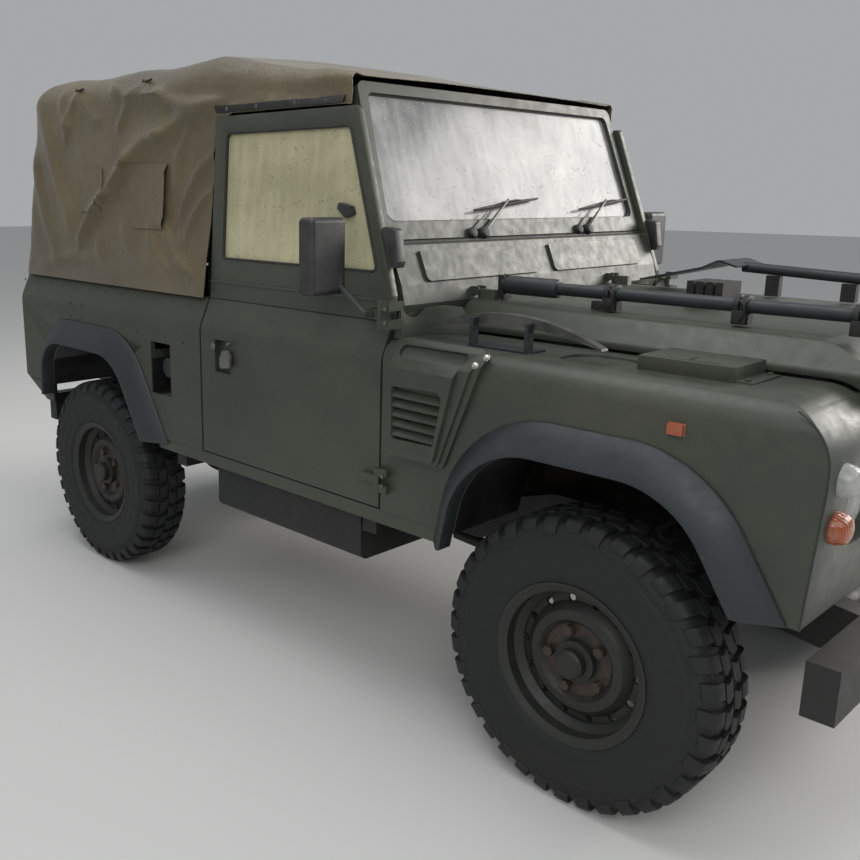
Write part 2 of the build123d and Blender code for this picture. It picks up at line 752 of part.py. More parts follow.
# Front bumper: a channel on the rails' ends with a towing eye below each rail
bumper_rear_x = bumper_face_x - 74 + seat_gap
eye_bore_radius = 18
eye_centre = (bumper_rear_x + 36, 430)
eye_y = (366, 390)
bumper_z = (468, 600)
with BuildPart() as front_bumper:
    block((bumper_rear_x, bumper_face_x), (-768, 768), bumper_z)
    block((bumper_rear_x - 1, bumper_face_x - 8), (-760, -430), (bumper_z[0] + 8, bumper_z[1] - 8), Mode.SUBTRACT)
    block((bumper_rear_x - 1, bumper_face_x - 8), (430, 760), (bumper_z[0] + 8, bumper_z[1] - 8), Mode.SUBTRACT)
    for side in (-1, 1):
        start = side * eye_y[0] if side > 0 else side * eye_y[1]
        with BuildSketch(Plane.XZ.offset(-start)):
            with BuildLine():
                FilletPolyline(
                    (eye_centre[0] - 36, bumper_z[0] + 4),
                    (eye_centre[0] - 36, eye_centre[1] - 34),
                    (eye_centre[0] + 36, eye_centre[1] - 34),
                    (eye_centre[0] + 36, bumper_z[0] + 4),
                    radius=[0, 30, 30, 0],
                    close=True,
                )
            make_face()
            with Locations(eye_centre):
                Circle(eye_bore_radius, mode=Mode.SUBTRACT)
        extrude(amount=-(eye_y[1] - eye_y[0]))
keep(front_bumper, "front_bumper")

# Towing jaw on the rear crossmember
jaw_plate_x = tub_rear_x - 14 - seat_gap
jaw_pin_radius = 16
jaw_z = (532, 618)
jaw_pin_x = rearmost_x + 46
with BuildPart() as towing_jaw:
    block((jaw_plate_x - 16, jaw_plate_x), (-84, 84), (crossmember_z[0], crossmember_z[1]))
    for z0, z1 in ((jaw_z[0], jaw_z[0] + 22), (jaw_z[1] - 22, jaw_z[1])):
        prism(
            Plane.XY.offset(z0),
            [
                (jaw_plate_x - 10, -58, 0),
                (rearmost_x, -46, 30),
                (rearmost_x, 46, 30),
                (jaw_plate_x - 10, 58, 0),
            ],
            z1 - z0,
        )
    with Locations((jaw_pin_x, 0, (jaw_z[0] + jaw_z[1]) / 2)):
        Cylinder(jaw_pin_radius, jaw_z[1] - jaw_z[0] + 40, mode=Mode.SUBTRACT)
keep(towing_jaw, "towing_jaw")


# Pieces on the right wing's top: box cover, and a pick head in its stand
cover_x = (1322, 1562)
cover_y = (-760, -606)
cover_height = 34
with BuildPart() as box_cover:
    block(cover_x, cover_y, (wing_top_z + seat_gap, wing_top_z + cover_height))
    for x in (cover_x[0] - 22, cover_x[1]):
        block((x, x + 22), (cover_y[0] + 14, cover_y[1] - 14), (wing_top_z + seat_gap, wing_top_z + 4))
keep(box_cover, "box_cover")

pick_x = (618, 1200)
pick_y = -692
with BuildPart() as pick_head:
    with BuildSketch(Plane.XZ.offset(-pick_y - 14)):
        with BuildLine():
            ThreePointArc((pick_x[0], wing_top_z + 34), (880, wing_top_z + 96), (pick_x[1], wing_top_z + 36))
            Line((pick_x[1], wing_top_z + 36), (pick_x[1] + 3, wing_top_z + 30))
            ThreePointArc((pick_x[1] + 3, wing_top_z + 30), (880, wing_top_z + 66), (pick_x[0] - 3, wing_top_z + 28))
            Line((pick_x[0] - 3, wing_top_z + 28), (pick_x[0], wing_top_z + 34))
        make_face()
    extrude(amount=28)
keep(pick_head, "pick_head")

with BuildPart() as pick_stand:
    block((796, 1000), (pick_y - 40, pick_y + 40), (wing_top_z + seat_gap, wing_top_z + 5))
    for x in (800, 984):
        block((x, x + 12), (pick_y - 40, pick_y - 14 - seat_gap), (wing_top_z + seat_gap, wing_top_z + 80))
keep(pick_stand, "pick_stand")


# Rear tub: sides, wheel boxes, floor, front wall and corner panels
tub_front_x = door_rear_x - door_rear_gap
tub_x = (tub_rear_x, tub_front_x)
tub_tail_z = 730
tailgate_x = (tub_rear_x + 1, tub_rear_x + 31)
tailgate_z = (tub_floor_z + 24, waist_z - 10)
tailgate_pivot = (tub_rear_x - 12, tailgate_z[0] - 4)
tailgate_hinge_y = 330
tailgate_barrel = (30, 8)
filler = ((-672, -540), (822, 1024))
with BuildPart() as rear_tub:
    for side in (-1, 1):
        body_wall(side, tub_x, 0, wall, sill_z - moving_gap + seat_gap)
        block(tub_x, (side * wheel_box_y, side * (body_side_y - wall / 2)), (tub_floor_z - tub_floor_skin, wheel_box_z))
        block((tub_rear_x, tub_rear_x + 24), (side * tailgate_half_width, side * (body_side_y - 46)), (tub_tail_z, waist_z))
        block(tub_x, (side * (body_side_y - 74), side * (body_side_y - 48)), (waist_z - 12, waist_z))
    block(tub_x, (-wheel_box_y, wheel_box_y), (tub_floor_z - tub_floor_skin, tub_floor_z))
    block((tub_front_x - 20, tub_front_x), (-body_side_y + 50, body_side_y - 50), (tub_floor_z, wheel_box_z))
    block((tub_rear_x - 9, rear_axle_x - 340), (-900, 900), (600, tub_floor_z - tub_floor_skin), Mode.SUBTRACT)
    for side in (-1, 1):
        block((tub_rear_x - 9, rear_axle_x - 200), (side * wheel_box_y, side * 900), (600, tub_tail_z), Mode.SUBTRACT)
        prism(
            Plane.XZ.offset(-side * (wheel_box_y + 22)),
            arch_outline(rear_axle_x, rear_arch),
            -side * 400,
            Mode.SUBTRACT,
        )
    block(filler[0], (-body_side_y - 1, -body_side_y + 84), filler[1], Mode.SUBTRACT)
    half, radius = tailgate_barrel
    for middle in (-tailgate_hinge_y, tailgate_hinge_y):
        for y in (middle - half - seat_gap - 16, middle + half + seat_gap):
            rod((tailgate_pivot[0], y, tailgate_pivot[1]), (tailgate_pivot[0], y + 16, tailgate_pivot[1]), radius)
            block((tailgate_pivot[0] - 5, tub_rear_x + 1), (y, y + 16), (tub_floor_z - 16, tub_floor_z - 2))
            block((tailgate_pivot[0] - 5, tailgate_pivot[0] + 5), (y, y + 16), (tub_floor_z - 16, tailgate_pivot[1]))
keep(rear_tub, "rear_tub")

with BuildPart() as filler_cap:
    rod((-606, -body_side_y + 84 - seat_gap, 924), (-606, -body_side_y + 34, 924), 38)
keep(filler_cap, "filler_cap")

# Roll bars under the hood
bar_radius = 24
bar_foot_z = wheel_box_z + seat_gap
roll_bar_x = (-420, -1500)
with BuildPart() as roll_bars:
    for x in roll_bar_x:
        bent_tube(
            [(x, -722, bar_foot_z + 3), (x, -672, 1956), (x, 672, 1956), (x, 722, bar_foot_z + 3)],
            110,
            bar_radius,
        )
    for y in (-640, 640):
        rod((roll_bar_x[1], y, 1944), (roll_bar_x[0], y, 1944), bar_radius - 4)
keep(roll_bars, "roll_bars")


# Canvas hood: leaning sides, sloping tail and a roof that falls to the windscreen
hood_foot_z = waist_z + seat_gap
hood_bow_x = -425
hood_front_z = 1938
door_head_z = 1838


def hood_form(inset, reach):
    """The hood's outer form drawn in by an inset; reach runs it past its open ends."""
    prism(
        Plane.XZ.offset(-900),
        [
            (hood_rear_foot_x + inset, hood_foot_z - reach, 0),
            (hood_rear_top_x + inset, hood_top_z - inset, 90),
            (hood_bow_x, hood_top_z - inset, 260),
            (hood_front_x + reach, hood_front_z - inset - reach * 0.13, 0),
            (hood_front_x + reach, hood_foot_z - reach, 0),
        ],
        1800,
    )
    lean = (hood_foot_half_width - hood_top_half_width) / (hood_top_z - hood_foot_z)
    foot = hood_foot_half_width - inset + lean * reach
    top = hood_top_half_width - inset
    prism(
        Plane.YZ.offset(-1900),
        [
            (-foot, hood_foot_z - reach, 0),
            (-top, hood_top_z - inset, 96),
            (top, hood_top_z - inset, 96),
            (foot, hood_foot_z - reach, 0),
        ],
        2400,
        Mode.INTERSECT,
    )


with BuildPart() as hood_space:
    hood_form(hood_thickness, 30)
with BuildPart() as canvas_hood:
    hood_form(0, 0)
    add(hood_space.part, mode=Mode.SUBTRACT)
    block((tub_front_x - 2, hood_front_x + 9), (-900, 900), (hood_foot_z - 9, door_head_z + moving_gap), Mode.SUBTRACT)
keep(canvas_hood, "canvas_hood")


# Seats, and the dashboard with its column and wheel
seat_y = 420
seat_half_width = 235
with BuildPart() as seats:
    for y in (-seat_y, seat_y):
        block((-300, 160), (y - seat_half_width, y + seat_half_width), (seat_box_z + seat_gap, seat_box_z + 120))
    vertical = seats.edges().filter_by(Axis.Z)
    fillet(vertical, 40)
keep(seats, "seat_cushions")

with BuildPart() as seat_backs:
    for y in (-seat_y, seat_y):
        prism(
            Plane.XZ.offset(-y - seat_half_width + 10),
            [
                (-300, seat_box_z + 120 + seat_gap, 20),
                (-210, seat_box_z + 120 + seat_gap, 20),
                (-270, 1500, 40),
                (-340, 1490, 30),
            ],
            2 * seat_half_width - 20,
        )
keep(seat_backs, "seat_backs")

wheel_rim_radius = 205
steering_centre = Vector(214, -seat_y, 1206)
steering_axis = Vector(-0.78, 0, 0.62)
dash_x = (330, screen_foot_x - 56 - seat_gap)
with BuildPart() as dashboard:
    prism(
        Plane.XZ.offset(-716),
        [
            (dash_x[0], 1130, 20),
            (dash_x[1], 1092, 10),
            (dash_x[1], scuttle_top_z - 26, 8),
            (dash_x[0] + 26, scuttle_top_z - 30, 16),
            (dash_x[0] - 12, scuttle_top_z - 110, 20),
        ],
        1432,
    )
    with BuildSketch(Plane(origin=steering_centre, z_dir=steering_axis)):
        Circle(24)
    extrude(amount=-385)
    ring_plane = Plane(origin=steering_centre, z_dir=steering_axis)
    with Locations(ring_plane):
        Torus(wheel_rim_radius, 13)
        Cylinder(46, 24)
        Box(2 * wheel_rim_radius - 10, 30, 8)
keep(dashboard, "dashboard")


# Bonnet: a raised centre with rounded sides, open below
bonnet_foot_z = wing_top_z + moving_gap


def bonnet_form(inset, reach):
    """Raised form drawn in by an inset, run past its open ends by reach."""
    half = bonnet_half_width - inset
    prism(
        Plane.YZ.offset(bonnet_rear_x - reach),
        [
            (-half, bonnet_foot_z - reach, 0),
            (-half, bonnet_foot_z + 16, 14),
            (-half + 62, bonnet_top_z - inset, 52),
            (half - 62, bonnet_top_z - inset, 52),
            (half, bonnet_foot_z + 16, 14),
            (half, bonnet_foot_z - reach, 0),
        ],
        bonnet_front_x - bonnet_rear_x - inset + reach,
    )
    prism(
        Plane.XZ.offset(-700),
        [
            (bonnet_rear_x - reach, bonnet_foot_z - reach, 0),
            (bonnet_rear_x - reach, bonnet_top_z - inset, 0),
            (bonnet_front_x - 150, bonnet_top_z - inset - 8, 190),
            (bonnet_front_x - inset, bonnet_top_z - 74 - inset, 16),
            (bonnet_front_x - inset, bonnet_foot_z - reach, 0),
        ],
        1400,
        Mode.INTERSECT,
    )


with BuildPart() as bonnet_space:
    bonnet_form(bonnet_skin, 20)
with BuildPart() as bonnet:
    bonnet_form(0, 0)
    add(bonnet_space.part, mode=Mode.SUBTRACT)
    for y in (-bonnet_hinge_y, bonnet_hinge_y):
        half, radius = bonnet_barrel
        rod((bonnet_pivot[0], y - half, bonnet_pivot[1]), (bonnet_pivot[0], y + half, bonnet_pivot[1]), radius)
        prism(
            Plane.XZ.offset(-y - half),
            [
                (bonnet_pivot[0], bonnet_pivot[1] - radius + 1, 0),
                (bonnet_pivot[0], bonnet_pivot[1] + radius - 1, 0),
                (bonnet_rear_x + 70, bonnet_top_z + 8, 0),
                (bonnet_rear_x + 70, bonnet_top_z - 3, 0),
                (bonnet_rear_x + 12, bonnet_top_z - 3, 0),
            ],
            2 * half,
        )
keep(bonnet, "bonnet")

# Tool tube along the right of the bonnet, with its clamps
tube_y = -380
tube_z = bonnet_top_z + 48
tube_radius = 18
tube_x = (700, 1736)
clamp_x = [790, 1032, 1405, 1690]
with BuildPart() as tool_tube:
    rod((tube_x[0], tube_y, tube_z), (tube_x[1], tube_y, tube_z), tube_radius)
    rod((tube_x[0] - 44, tube_y, tube_z), (tube_x[0] + 120, tube_y, tube_z), tube_radius + 5)
keep(tool_tube, "tool_tube")

# Shovel on the left with its blade to the rear
shovel_y = 400
shovel_shaft = [(1060, 1352), (1742, 1322)]
shovel_shaft_radius = 17
with BuildPart() as shovel:
    rod((shovel_shaft[0][0], shovel_y, shovel_shaft[0][1]), (shovel_shaft[1][0], shovel_y, shovel_shaft[1][1]), shovel_shaft_radius)
    prism(
        Plane.XZ.offset(-shovel_y - 105),
        [
            (740, bonnet_top_z + 36, 0),
            (960, bonnet_top_z + 88, 60),
            (1020, bonnet_top_z + 116, 30),
            (1082, bonnet_top_z + 98, 0),
            (1080, bonnet_top_z + 92, 0),
            (1018, bonnet_top_z + 109, 24),
            (964, bonnet_top_z + 82, 54),
            (740, bonnet_top_z + 30, 0),
        ],
        210,
    )
keep(shovel, "shovel")

# Clamps, the ribbed centre block and rubber rests on the bonnet
with BuildPart() as bonnet_fittings:
    for x in clamp_x[1:]:
        block((x - 22, x + 22), (tube_y - 14, tube_y + 14), (bonnet_top_z + seat_gap, tube_z - tube_radius - seat_gap))
    for x in (1165, 1400, 1690):
        fall = (shovel_shaft[1][1] - shovel_shaft[0][1]) / (shovel_shaft[1][0] - shovel_shaft[0][0])
        under = shovel_shaft[0][1] + (x + 22 - shovel_shaft[0][0]) * fall - shovel_shaft_radius
        block((x - 22, x + 22), (shovel_y - 14, shovel_y + 14), (bonnet_top_z + seat_gap, under - 2 * seat_gap))
    for n in range(4):
        block((1092 + n * 30, 1114 + n * 30), (-62, 62), (bonnet_top_z + seat_gap, bonnet_top_z + 72))
    block((1092, 1204), (-50, 50), (bonnet_top_z + seat_gap, bonnet_top_z + 60))
keep(bonnet_fittings, "bonnet_fittings")


# Doors: a lower door with its handle recess, and a framed top leaning inwards
door_top_thickness = 26
door_top_lean = 0.068
door_top_foot = (790, waist_z + seat_gap + door_top_thickness * door_top_lean)
door_top_bar = 44
lean_length = math.hypot(1, door_top_lean)
handle = ((-256, -168), (962, 1078))
door_top_plane = Plane(
    origin=(0, -door_top_foot[0], door_top_foot[1]),
    x_dir=(1, 0, 0),
    z_dir=(0, -1, door_top_lean),
)
door_top_height = (door_head_z - door_top_foot[1]) * lean_length
top_front_foot_x = door_front_x - 4
top_front_head_x = top_front_foot_x - (door_head_z - 1290) * 0.3475


def door_top_outline(inset):
    """Outline of the door top, its front edge parallel to the windscreen."""
    shift = inset * 1.06
    return [
        (door_rear_x + 2 + inset, inset, 0),
        (door_rear_x + 2 + inset, door_top_height - inset, 14),
        (top_front_head_x - shift, door_top_height - inset, 14),
        (top_front_foot_x - shift, (1290 - door_top_foot[1]) * lean_length, 10),
        (top_front_foot_x - shift, inset, 0),
    ]


mirror_box = ((388, 452), (-1010, -872), (1296, 1516))
with BuildPart() as right_door:
    body_wall(-1, (door_rear_x, door_front_x), 0, door_thickness, sill_z)
    block(handle[0], (-body_side_y - 1, -body_side_y + 22), handle[1], Mode.SUBTRACT)
    for low, high in hinge_heights:
        third = (high - low) / 3
        z = (low + third, high - third)
        rod((hinge_x, -hinge_y, z[0]), (hinge_x, -hinge_y, z[1]), hinge_barrel_radius)
        reach = body_side_y - 1 if high < wing_top_z else 789.4
        block((hinge_x - 70, hinge_x - 2), (-hinge_y - 5, -hinge_y + 5), z)
        block((hinge_x - 70, hinge_x - 56), (-reach, -hinge_y - 5), z)
keep(right_door, "right_door")

with BuildPart() as right_door_top:
    prism(door_top_plane.offset(-door_top_thickness), door_top_outline(0), door_top_thickness)
    prism(
        door_top_plane.offset(-door_top_thickness - 5),
        door_top_outline(door_top_bar),
        door_top_thickness + 10,
        Mode.SUBTRACT,
    )
keep(right_door_top, "right_door_top")

with BuildPart() as right_door_glass:
    prism(
        door_top_plane.offset(-door_top_thickness / 2 - 3),
        door_top_outline(door_top_bar + seat_gap),
        6,
    )
keep(right_door_glass, "right_door_glass")

with BuildPart() as right_mirror:
    block(*mirror_box)
    fillet(right_mirror.edges(), 16)
    block((hinge_x - 60, hinge_x - 20), (-hinge_y - 5 - seat_gap, -hinge_y - 13), (1234, 1252))
    block((hinge_x - 48, hinge_x - 32), (-hinge_y - 9, -hinge_y - 26), (1235, 1251))
    rod((hinge_x - 40, -hinge_y - 20, 1243), (440, -900, 1330), 8)
keep(right_mirror, "right_mirror")

for name in ("door", "door_top", "door_glass", "mirror"):
    left = mirror(pieces["right_" + name], about=Plane.XZ)
    left.label = "left_" + name
    pieces[left.label] = left

# Tailgate, hinged along its foot
with BuildPart() as tailgate:
    block(tailgate_x, (-tailgate_half_width + moving_gap, tailgate_half_width - moving_gap), tailgate_z)
    half, radius = tailgate_barrel
    for y in (-tailgate_hinge_y, tailgate_hinge_y):
        block((tailgate_x[0] - 13, tailgate_x[0]), (y - half, y + half), (tailgate_z[0] + 4, tailgate_z[0] + 90))
        rod((tailgate_pivot[0], y - half, tailgate_pivot[1]), (tailgate_pivot[0], y + half, tailgate_pivot[1]), radius)
        block((tailgate_x[0] - 18, tailgate_x[0] - 6), (y - half, y + half), (tailgate_pivot[1], tailgate_z[0] + 20))
keep(tailgate, "tailgate")

for label, piece in pieces.items():
    export_step(piece, f"parts/{label}.step")
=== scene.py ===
import math
import bmesh
import bpy
from mathutils import Matrix, Vector, noise


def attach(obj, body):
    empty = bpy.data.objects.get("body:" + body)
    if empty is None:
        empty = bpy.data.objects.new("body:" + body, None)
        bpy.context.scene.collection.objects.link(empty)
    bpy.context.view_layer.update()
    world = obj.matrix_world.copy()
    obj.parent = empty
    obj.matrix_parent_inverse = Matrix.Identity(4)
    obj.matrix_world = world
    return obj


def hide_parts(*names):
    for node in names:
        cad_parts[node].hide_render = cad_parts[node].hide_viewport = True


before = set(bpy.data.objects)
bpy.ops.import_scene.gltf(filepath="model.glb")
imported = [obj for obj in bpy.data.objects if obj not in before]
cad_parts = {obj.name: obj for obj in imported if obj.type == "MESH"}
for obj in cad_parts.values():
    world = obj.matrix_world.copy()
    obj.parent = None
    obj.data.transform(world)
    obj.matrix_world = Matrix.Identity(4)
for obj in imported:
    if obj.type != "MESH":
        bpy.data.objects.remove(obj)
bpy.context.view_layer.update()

print("frame loaded")


# shader maths as expressions

class Link:
    def __init__(self, tree, socket):
        self.tree = tree
        self.socket = socket

    def math(self, operation, other=None, flip=False):
        node = self.tree.nodes.new("ShaderNodeMath")
        node.operation = operation
        values = [self] if other is None else ([other, self] if flip else [self, other])
        for slot, value in enumerate(values):
            if isinstance(value, Link):
                self.tree.links.new(value.socket, node.inputs[slot])
            else:
                node.inputs[slot].default_value = value
        return Link(self.tree, node.outputs[0])

    def __add__(self, other): return self.math("ADD", other)
    def __radd__(self, other): return self.math("ADD", other, True)
    def __sub__(self, other): return self.math("SUBTRACT", other)
    def __rsub__(self, other): return self.math("SUBTRACT", other, True)
    def __mul__(self, other): return self.math("MULTIPLY", other)
    def __rmul__(self, other): return self.math("MULTIPLY", other, True)
    def __gt__(self, other): return self.math("GREATER_THAN", other)
    def __lt__(self, other): return self.math("LESS_THAN", other)
    def __abs__(self): return self.math("ABSOLUTE")


class Finish:
    def __init__(self, name, tones=None):
        self.tones = tones
        self.material = bpy.data.materials.new(name)
        self.material.use_nodes = True
        self.tree = self.material.node_tree
        self.tree.nodes.clear()
        self.place = self.node("TexCoord", output="Object")

    def node(self, kind, settings=None, inputs=None, output=0):
        made = self.tree.nodes.new("ShaderNode" + kind)
        for key, value in (settings or {}).items():
            setattr(made, key, value)
        for key, value in (inputs or {}).items():
            if isinstance(value, Link):
                self.tree.links.new(value.socket, made.inputs[key])
            else:
                made.inputs[key].default_value = value
        return Link(self.tree, made.outputs[output]) if len(made.outputs) else made

    def noise(self, scale, detail=3.0, roughness=0.55, distortion=0.0, place=None):
        inputs = {"Vector": place or self.place, "Scale": scale, "Detail": detail}
        inputs.update({"Roughness": roughness, "Distortion": distortion})
        return self.node("TexNoise", None, inputs, 0)

    def cells(self, scale):
        return self.node("TexVoronoi", {"feature": "F1"}, {"Vector": self.place, "Scale": scale}, "Distance")

    def bands(self, direction, scale):
        settings = {"wave_type": "BANDS", "bands_direction": direction}
        return self.node("TexWave", settings, {"Vector": self.place, "Scale": scale})

    def remap(self, value, low, high, start=0.0, end=1.0):
        inputs = {"Value": value, "From Min": low, "From Max": high, "To Min": start, "To Max": end}
        return self.node("MapRange", {"clamp": True}, inputs)

    def blend(self, factor, first, second):
        inputs = {0: factor, 6: self.colour(first), 7: self.colour(second)}
        return self.node("Mix", {"data_type": "RGBA"}, inputs, 2)

    def colour(self, value):
        # a link, a name from the finish's own tones, or red, green and blue up to 255
        if isinstance(value, Link):
            return value
        return (*tone(*(self.tones[value] if isinstance(value, str) else value)), 1)

    def axes(self):
        made = self.tree.nodes.new("ShaderNodeSeparateXYZ")
        self.tree.links.new(self.place.socket, made.inputs[0])
        return [Link(self.tree, made.outputs[n]) for n in range(3)]

    def stretch(self, scale):
        return self.node("Mapping", None, {"Vector": self.place, "Scale": scale})

    def bump(self, height, distance, strength=1.0, normal=None):
        inputs = {"Height": height, "Distance": distance, "Strength": strength}
        if normal:
            inputs["Normal"] = normal
        return self.node("Bump", None, inputs)

    def close(self, **sockets):
        inputs = {key.replace("_", " "): value for key, value in sockets.items()}
        if "Base Color" in inputs:
            inputs["Base Color"] = self.colour(inputs["Base Color"])
        shader = self.node("BsdfPrincipled", None, inputs)
        self.node("OutputMaterial", None, {"Surface": shader})
        return self.material


def tone(red, green, blue):
    def linear(part):
        part /= 255
        return part / 12.92 if part <= 0.04045 else ((part + 0.055) / 1.055) ** 2.4
    return tuple(linear(part) for part in (red, green, blue))


# finishes, with each colour as red, green and blue up to 255

wheelPlaces = {
    "front_right": (1.2425, -0.743, 0.398), "front_left": (1.2425, 0.743, 0.398),
    "rear_right": (-1.1175, -0.743, 0.398), "rear_left": (-1.1175, 0.743, 0.398),
}
frontX, rearX, axleZ = wheelPlaces["front_right"][0], wheelPlaces["rear_right"][0], wheelPlaces["rear_right"][2]
paintLook = {
    "body": (54, 58, 48), "faded": (68, 70, 59), "flare": (36, 41, 44), "flareFaded": (47, 52, 55),
    "chassis": (26, 27, 27), "chassisFaded": (38, 37, 35), "dust": (86, 81, 68), "wet": (112, 116, 108),
    "streak": (40, 41, 34), "rust": (94, 58, 36), "undersealAndShade": (20, 20, 20),
    "undersealAndShadeSide": 0.8285, "undersealAndShadeTop": 0.955, "frontArch": 0.53, "rearArch": 0.50,
}


def armyPaint(name, base, faded, dustTop=0.78, roughness=0.46, rust=0.0, undersealAndShade=False):
    look, tones = Finish(name, paintLook), paintLook
    x, y, z = look.axes()
    broad = look.noise(1.3, 4.0, 0.6)
    fine = look.noise(26.0, 3.0, 0.6)
    wear = look.remap(broad * 0.75 + fine * 0.25, 0.42, 0.68)
    colour = look.blend(wear, base, faded)
    low = look.remap(z + broad * 0.24, dustTop, 0.30)
    splash = look.remap(look.noise(60.0, 4.0, 0.7), 0.44, 0.66)
    colour = look.blend(low * (splash * 0.5 + 0.12), colour, "dust")
    drops = look.cells(95.0)
    bead = look.remap(drops, 0.2, 0.12) * look.remap(look.noise(14.0, 2.0), 0.52, 0.62)
    # water beads tinted lighter: a painted highlight on each bead
    colour = look.blend(bead * 0.22, colour, "wet")
    streaks = look.noise(9.0, 3.0, 0.5, 0.0, look.stretch((1.0, 1.0, 0.12)))
    colour = look.blend(look.remap(streaks, 0.56, 0.78) * 0.25, colour, "streak")
    if undersealAndShade:
        # the inside of each wheel arch, between the wings' outer skins, painted near black: partly dirty underseal,
        # partly painted shade inside the arch
        front, rear = abs(x - frontX) < tones["frontArch"], abs(x - rearX) < tones["rearArch"]
        inside = (abs(y) < tones["undersealAndShadeSide"]) * (z < tones["undersealAndShadeTop"])
        colour = look.blend((front + rear).math("MINIMUM", 1.0) * inside, colour, "undersealAndShade")
    if rust:
        spots = look.remap(look.noise(44.0, 5.0, 0.7), 0.72 - rust, 0.76 - rust)
        colour = look.blend(spots, colour, "rust")
    gloss = look.remap(fine, 0.3, 0.7, roughness - 0.07, roughness + 0.09) - bead * 0.2
    skin = look.bump(fine, 0.0005, 0.35)
    normal = look.bump(bead, 0.0016, 0.7, skin)
    return look.close(Base_Color=colour, Roughness=gloss, Normal=normal)


canvasLook = {
    "deep": (84, 74, 52), "pale": (102, 90, 64), "stain": (80, 79, 74), "foot": (84, 78, 64),
    "footTop": 1.40, "footLow": 1.22, "warp": 260.0, "weft": 330.0, "wet": (0.20, 0.42), "crumple": 0.0055,
}


def canvasCloth():
    look, tones = Finish("wet_olive_canvas", canvasLook), canvasLook
    z = look.axes()[2]
    broad = look.noise(2.1, 4.0, 0.6)
    colour = look.blend(look.remap(broad, 0.35, 0.66), "deep", "pale")
    stain = look.remap(look.noise(0.9, 5.0, 0.65), 0.52, 0.72)
    colour = look.blend(stain * 0.5, colour, "stain")
    foot = look.remap(z + broad * 0.08, tones["footTop"], tones["footLow"])
    colour = look.blend(foot * 0.35, colour, "foot")
    weave = (look.bands("DIAGONAL", tones["warp"]) + look.bands("Z", tones["weft"])) * 0.5
    crumple = look.noise(38.0, 5.0, 0.62, 0.6)
    normal = look.bump(crumple, tones["crumple"], 0.6, look.bump(weave, 0.0004, 0.5))
    wet = look.remap(look.noise(3.3, 3.0), 0.36, 0.64, *tones["wet"])
    return look.close(Base_Color=colour, Roughness=wet, Normal=normal, Sheen_Weight=0.12, Sheen_Roughness=0.5)


rubberLook = {"tread": (18, 19, 21), "dusty": (48, 47, 43), "mud": (74, 68, 58), "mudTop": 0.16}


def tyreRubber():
    look, tones = Finish("tyre_rubber", rubberLook), rubberLook
    z = look.axes()[2]
    dust = look.remap(look.noise(34.0, 5.0, 0.65), 0.42, 0.75)
    colour = look.blend(dust * 0.3, "tread", "dusty")
    low = look.remap(z, tones["mudTop"], 0.0)
    colour = look.blend(low * 0.3 * dust, colour, "mud")
    normal = look.bump(look.noise(170.0, 3.0, 0.6), 0.0006, 0.5)
    return look.close(Base_Color=colour, Roughness=look.remap(dust, 0, 1, 0.62, 0.86), Normal=normal)


# radii from the axle: the ring that the nuts stand on, and the hub's edge
rimLook = {
    "paint": (31, 34, 31), "dust": (52, 50, 43), "rust": (70, 50, 36), "grease": (30, 28, 26),
    "nutRing": 0.082, "hub": (0.058, 0.052),
}


def wheelPaint():
    look, tones = Finish("wheel_paint", rimLook), rimLook
    x, y, z = look.axes()
    up = z - axleZ
    front, rear = [((x - middle) * (x - middle) + up * up).math("SQRT") for middle in (frontX, rearX)]
    reach = front.math("MINIMUM", rear)
    dust = look.remap(look.noise(30.0, 5.0, 0.65), 0.36, 0.72)
    colour = look.blend(dust * 0.4, "paint", "dust")
    ring = look.remap(abs(reach - tones["nutRing"]), 0.026, 0.010)
    bitten = look.remap(look.noise(70.0, 5.0, 0.7), 0.40, 0.56)
    colour = look.blend(ring * bitten * 0.7, colour, "rust")
    colour = look.blend(look.remap(reach, *tones["hub"]) * 0.8, colour, "grease")
    normal = look.bump(look.noise(80.0, 4.0, 0.6), 0.0006, 0.5)
    return look.close(Base_Color=colour, Roughness=look.remap(dust, 0, 1, 0.48, 0.72), Normal=normal)


def plain(name, base, second, scale, roughness, metallic=0.0, grain=0.0005):
    look, spread = Finish(name), 0.06
    patch = look.noise(scale, 4.0, 0.6)
    colour = look.blend(look.remap(patch, 0.36, 0.68), base, second)
    rough = look.remap(look.noise(scale * 2.2, 3.0), 0.3, 0.7, roughness - spread, roughness + spread)
    normal = look.bump(look.noise(scale * 7, 3.0, 0.6), grain, 0.5)
    return look.close(Base_Color=colour, Roughness=rough, Metallic=metallic, Normal=normal)


def mistedGlass(name, base, clear, alpha, dropColour):
    look = Finish(name)
    cloud = look.noise(3.2, 4.0, 0.6)
    runs = look.noise(30.0, 2.0, 0.5, 0.0, look.stretch((1.0, 1.0, 0.1)))
    colour = look.blend(look.remap(cloud * 0.7 + runs * 0.3, 0.38, 0.64), base, clear)
    bead = look.remap(look.cells(62.0), 0.20, 0.10) * look.remap(look.noise(23.0, 2.0), 0.42, 0.58)
    # on the windscreen the drops are painted lighter, a painted highlight on each drop; on the door glass they are
    # darker
    colour = look.blend(bead * 0.75, colour, dropColour)
    sockets = {
        "Base_Color": colour, "Roughness": look.remap(bead, 0, 1, 0.24, 0.06),
        "Alpha": look.remap(cloud, 0.3, 0.7, alpha, min(1.0, alpha + 0.12)),
        "Normal": look.bump(bead, 0.0014, 0.8), "Specular_IOR_Level": 0.22,
    }
    made = look.close(**sockets)
    made.surface_render_method = "DITHERED"
    return made


def lampLens(name, base, flutes, alpha):
    look = Finish(name)
    dust = look.remap(look.noise(40.0, 4.0), 0.4, 0.7)
    colour = look.blend(dust * 0.35, base, (130, 124, 108))
    normal, rough = look.bump(look.bands("Y", flutes), 0.0015, 0.7), look.remap(dust, 0, 1, 0.08, 0.3)
    return look.close(Base_Color=colour, Roughness=rough, Alpha=alpha, Normal=normal, Coat_Weight=0.4)


